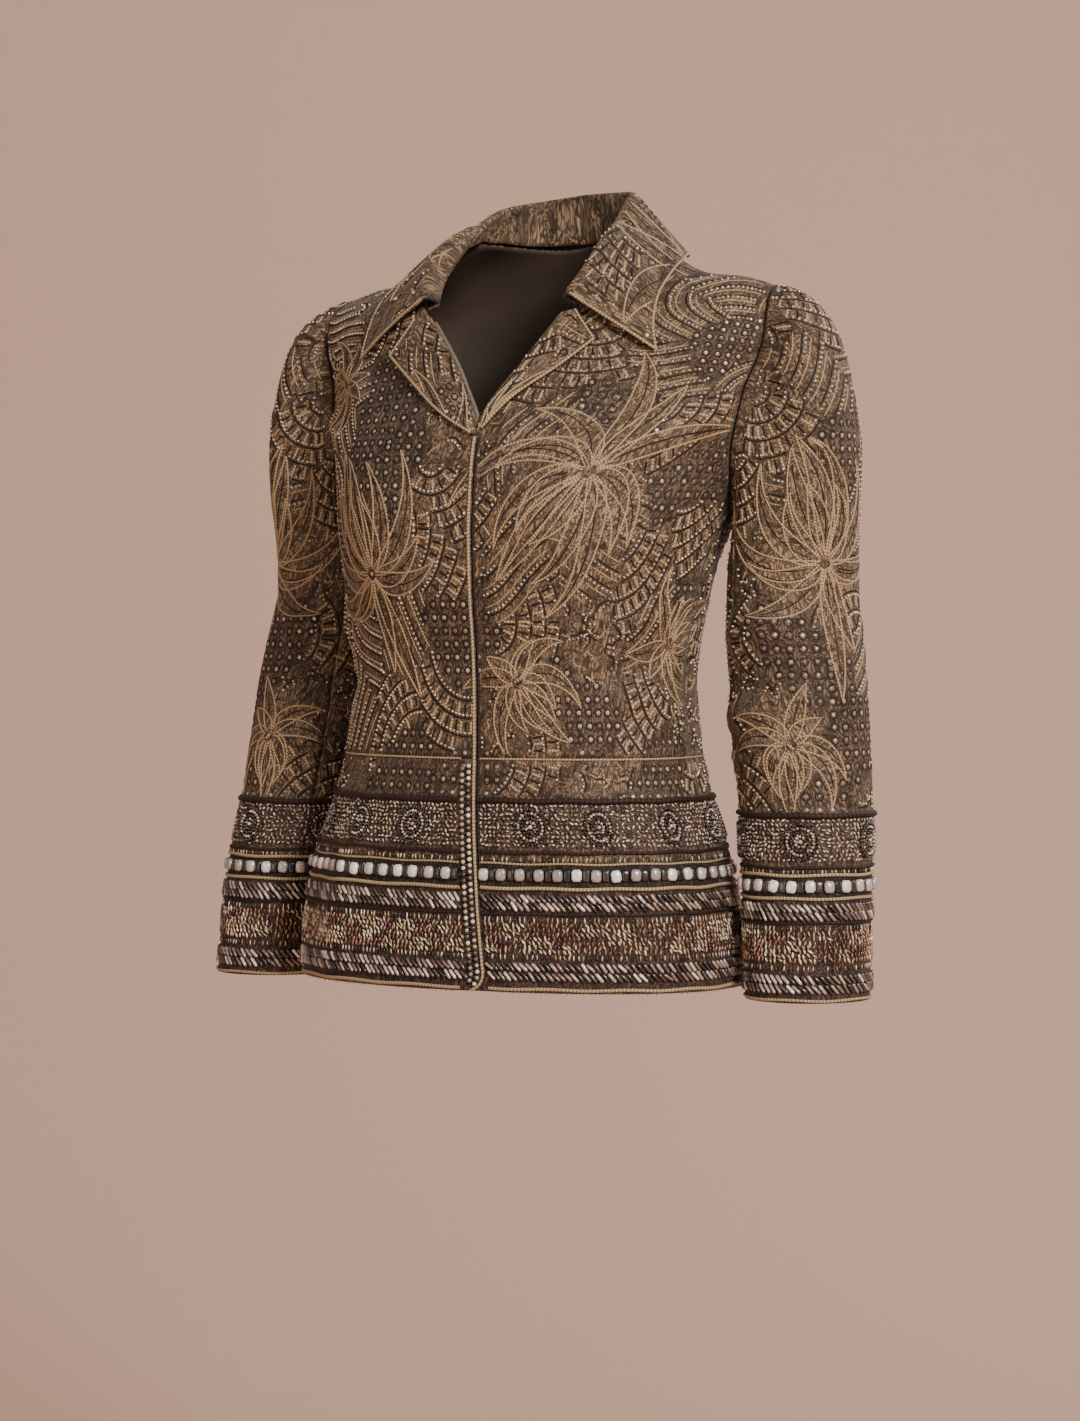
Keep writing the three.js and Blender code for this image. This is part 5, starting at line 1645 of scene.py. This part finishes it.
# %% Rosettes, neck tape and frayed hem
ROSETTE_RINGS = (
    # radius, bead size, colours
    (0.01, 3.2, GOLD_BEADS), (3.6, 2.2, ROPE_BEADS), (6.4, 2.3, DARK_BEADS), (9.3, 2.2, UPPER_BEADS),
    (12.0, 2.0, DARK_BEADS),
)
ROSETTE_PITCH, HEM_ROSETTES, CUFF_ROSETTES = 47, -422.0, -432.0
FRAYED_FOOT = -535.2


def rosettes(place, track_of, level, slot, name):
    """Rosettes of bead rings in an even row at one level."""
    gather = Gather()
    for across, up in even_spots(place, track_of(level), level, ROSETTE_PITCH, 0.0, 1.5):
        for radius, size, palette in ROSETTE_RINGS:
            count = max(int(2 * np.pi * radius / (size * 1.12)), 1)
            turn = np.arange(count) * 2 * np.pi / count + radius
            spots = np.stack([across + radius * np.cos(turn), up + radius * np.sin(turn)], -1)
            tall = (size, size, 1.6 + 0.2 * size)
            strew(gather, place, spots, "small", tall, 0.0, 1.1, shades(count, palette))
    gather.build(name, "glass beads", slot)


rosettes(hem_place, lambda level: hem_track(level, 16, 26), HEM_ROSETTES, "peplum_cloth", "hem_rosettes")
frays = Gather()
spots = even_spots(hem_place, hem_track(FRAYED_FOOT, 3, 16), FRAYED_FOOT, 2.2, 0.0, 0.3)
count = len(spots)
size = bead_sizes(count, (2.4, 4.6), (0.5, 0.9), 0.7)
strew(frays, hem_place, spots, "seed", size, np.pi / 2 + rng.normal(0, 0.35, count), -0.6,
      shades(count, ((0.36, 0.27, 0.17), (0.28, 0.20, 0.12)), 0.2))
for side, word in SIDES:
    rosettes(cuff_place(side), cuff_track, CUFF_ROSETTES, "sleeve_cloth", f"{word}_cuff_rosettes")
frays.build("frayed_hem", "hem threads", "peplum_cloth")
tape = Gather()
levels = np.linspace(BREAK + 4, -58, 60)
pipe(tape, on_body, edge_across(right_edge_x(levels) + 0.6, levels), levels, 1.7, -2.6)
tape.build("neckline_tape", "neck tape", "bodice_cloth")

# %% [markdown]
# The stage is a plain pale floor, which curves up behind the part, and three soft lights.
# The camera stands where the photo's camera stood, 28 degrees to the wearer's left.

# %% Stage, light and camera
def plain_material(name, colour, rough):
    _, shader = new_material(name)
    shader.inputs["Base Color"].default_value = (*colour, 1)
    shader.inputs["Roughness"].default_value = rough


plain_material("pale floor", (0.70, 0.48, 0.37), 0.85)
# Level directions in metres: away from the camera, and to its right
VIEW = np.array([-0.469, 0.883, 0.0])
SIDEWAYS = np.array([0.883, 0.469, 0.0])
FLOOR_BEND = 1.4
# The floor's section: distance away and height
sweep = [(-4.0, -1.3)]
for t in np.linspace(0, np.pi / 2, 16):
    sweep.append((1.8 + FLOOR_BEND * math.sin(t), 0.1 - FLOOR_BEND * math.cos(t)))
sweep.append((3.2, 4.0))
sweep_points = [VIEW * deep + SIDEWAYS * wide + (0, 0, high) for deep, high in sweep for wide in (-6, 6)]
floor_mesh = bpy.data.meshes.new("floor")
floor_faces = [(2 * i, 2 * i + 1, 2 * i + 3, 2 * i + 2) for i in range(len(sweep) - 1)]
floor_mesh.from_pydata(sweep_points, [], floor_faces)
floor_mesh.polygons.foreach_set("use_smooth", [True] * len(floor_mesh.polygons))
floor_mesh.materials.append(materials["pale floor"])
floor = bpy.data.objects.new("floor", floor_mesh)
bpy.context.scene.collection.objects.link(floor)

world = bpy.context.scene.world or bpy.data.worlds.new("studio")
bpy.context.scene.world = world
world.use_nodes = True
background = world.node_tree.nodes.get("Background") or world.node_tree.nodes.new("ShaderNodeBackground")
background.inputs["Color"].default_value = (0.68, 0.57, 0.49, 1)
background.inputs["Strength"].default_value = 0.52

LIGHTS = (
    # name, place, aimed at, size, watts
    ("key", (2.7, -1.9, 1.5), (0, 0, -0.2), 1.0, 170),
    ("fill", (-0.9, -3.0, 0.4), (0, 0, -0.3), 1.8, 20),
    ("rim", (1.2, 2.2, 1.2), (0, 0, -0.2), 1.4, 32),
)
for name, spot, target, size, watts in LIGHTS:
    data = bpy.data.lights.new(name, "AREA")
    data.shape, data.size, data.energy = "SQUARE", size, watts
    light = bpy.data.objects.new(name, data)
    light.location = spot
    light.rotation_euler = (Vector(target) - Vector(spot)).to_track_quat("-Z", "Y").to_euler()
    bpy.context.scene.collection.objects.link(light)

EYE = (1.3946, -2.6556, -0.249)
AIM = SIDEWAYS * -0.014 + (0, 0, -0.346)
camera_data = bpy.data.cameras.new("camera")
camera_data.lens, camera_data.sensor_width, camera_data.sensor_fit = 104.1, 36, "VERTICAL"
camera_data.sensor_height = 36
camera = bpy.data.objects.new("camera", camera_data)
camera.location = EYE
camera.rotation_euler = (Vector(AIM) - Vector(EYE)).to_track_quat("-Z", "Y").to_euler()
bpy.context.scene.collection.objects.link(camera)
bpy.context.scene.camera = camera
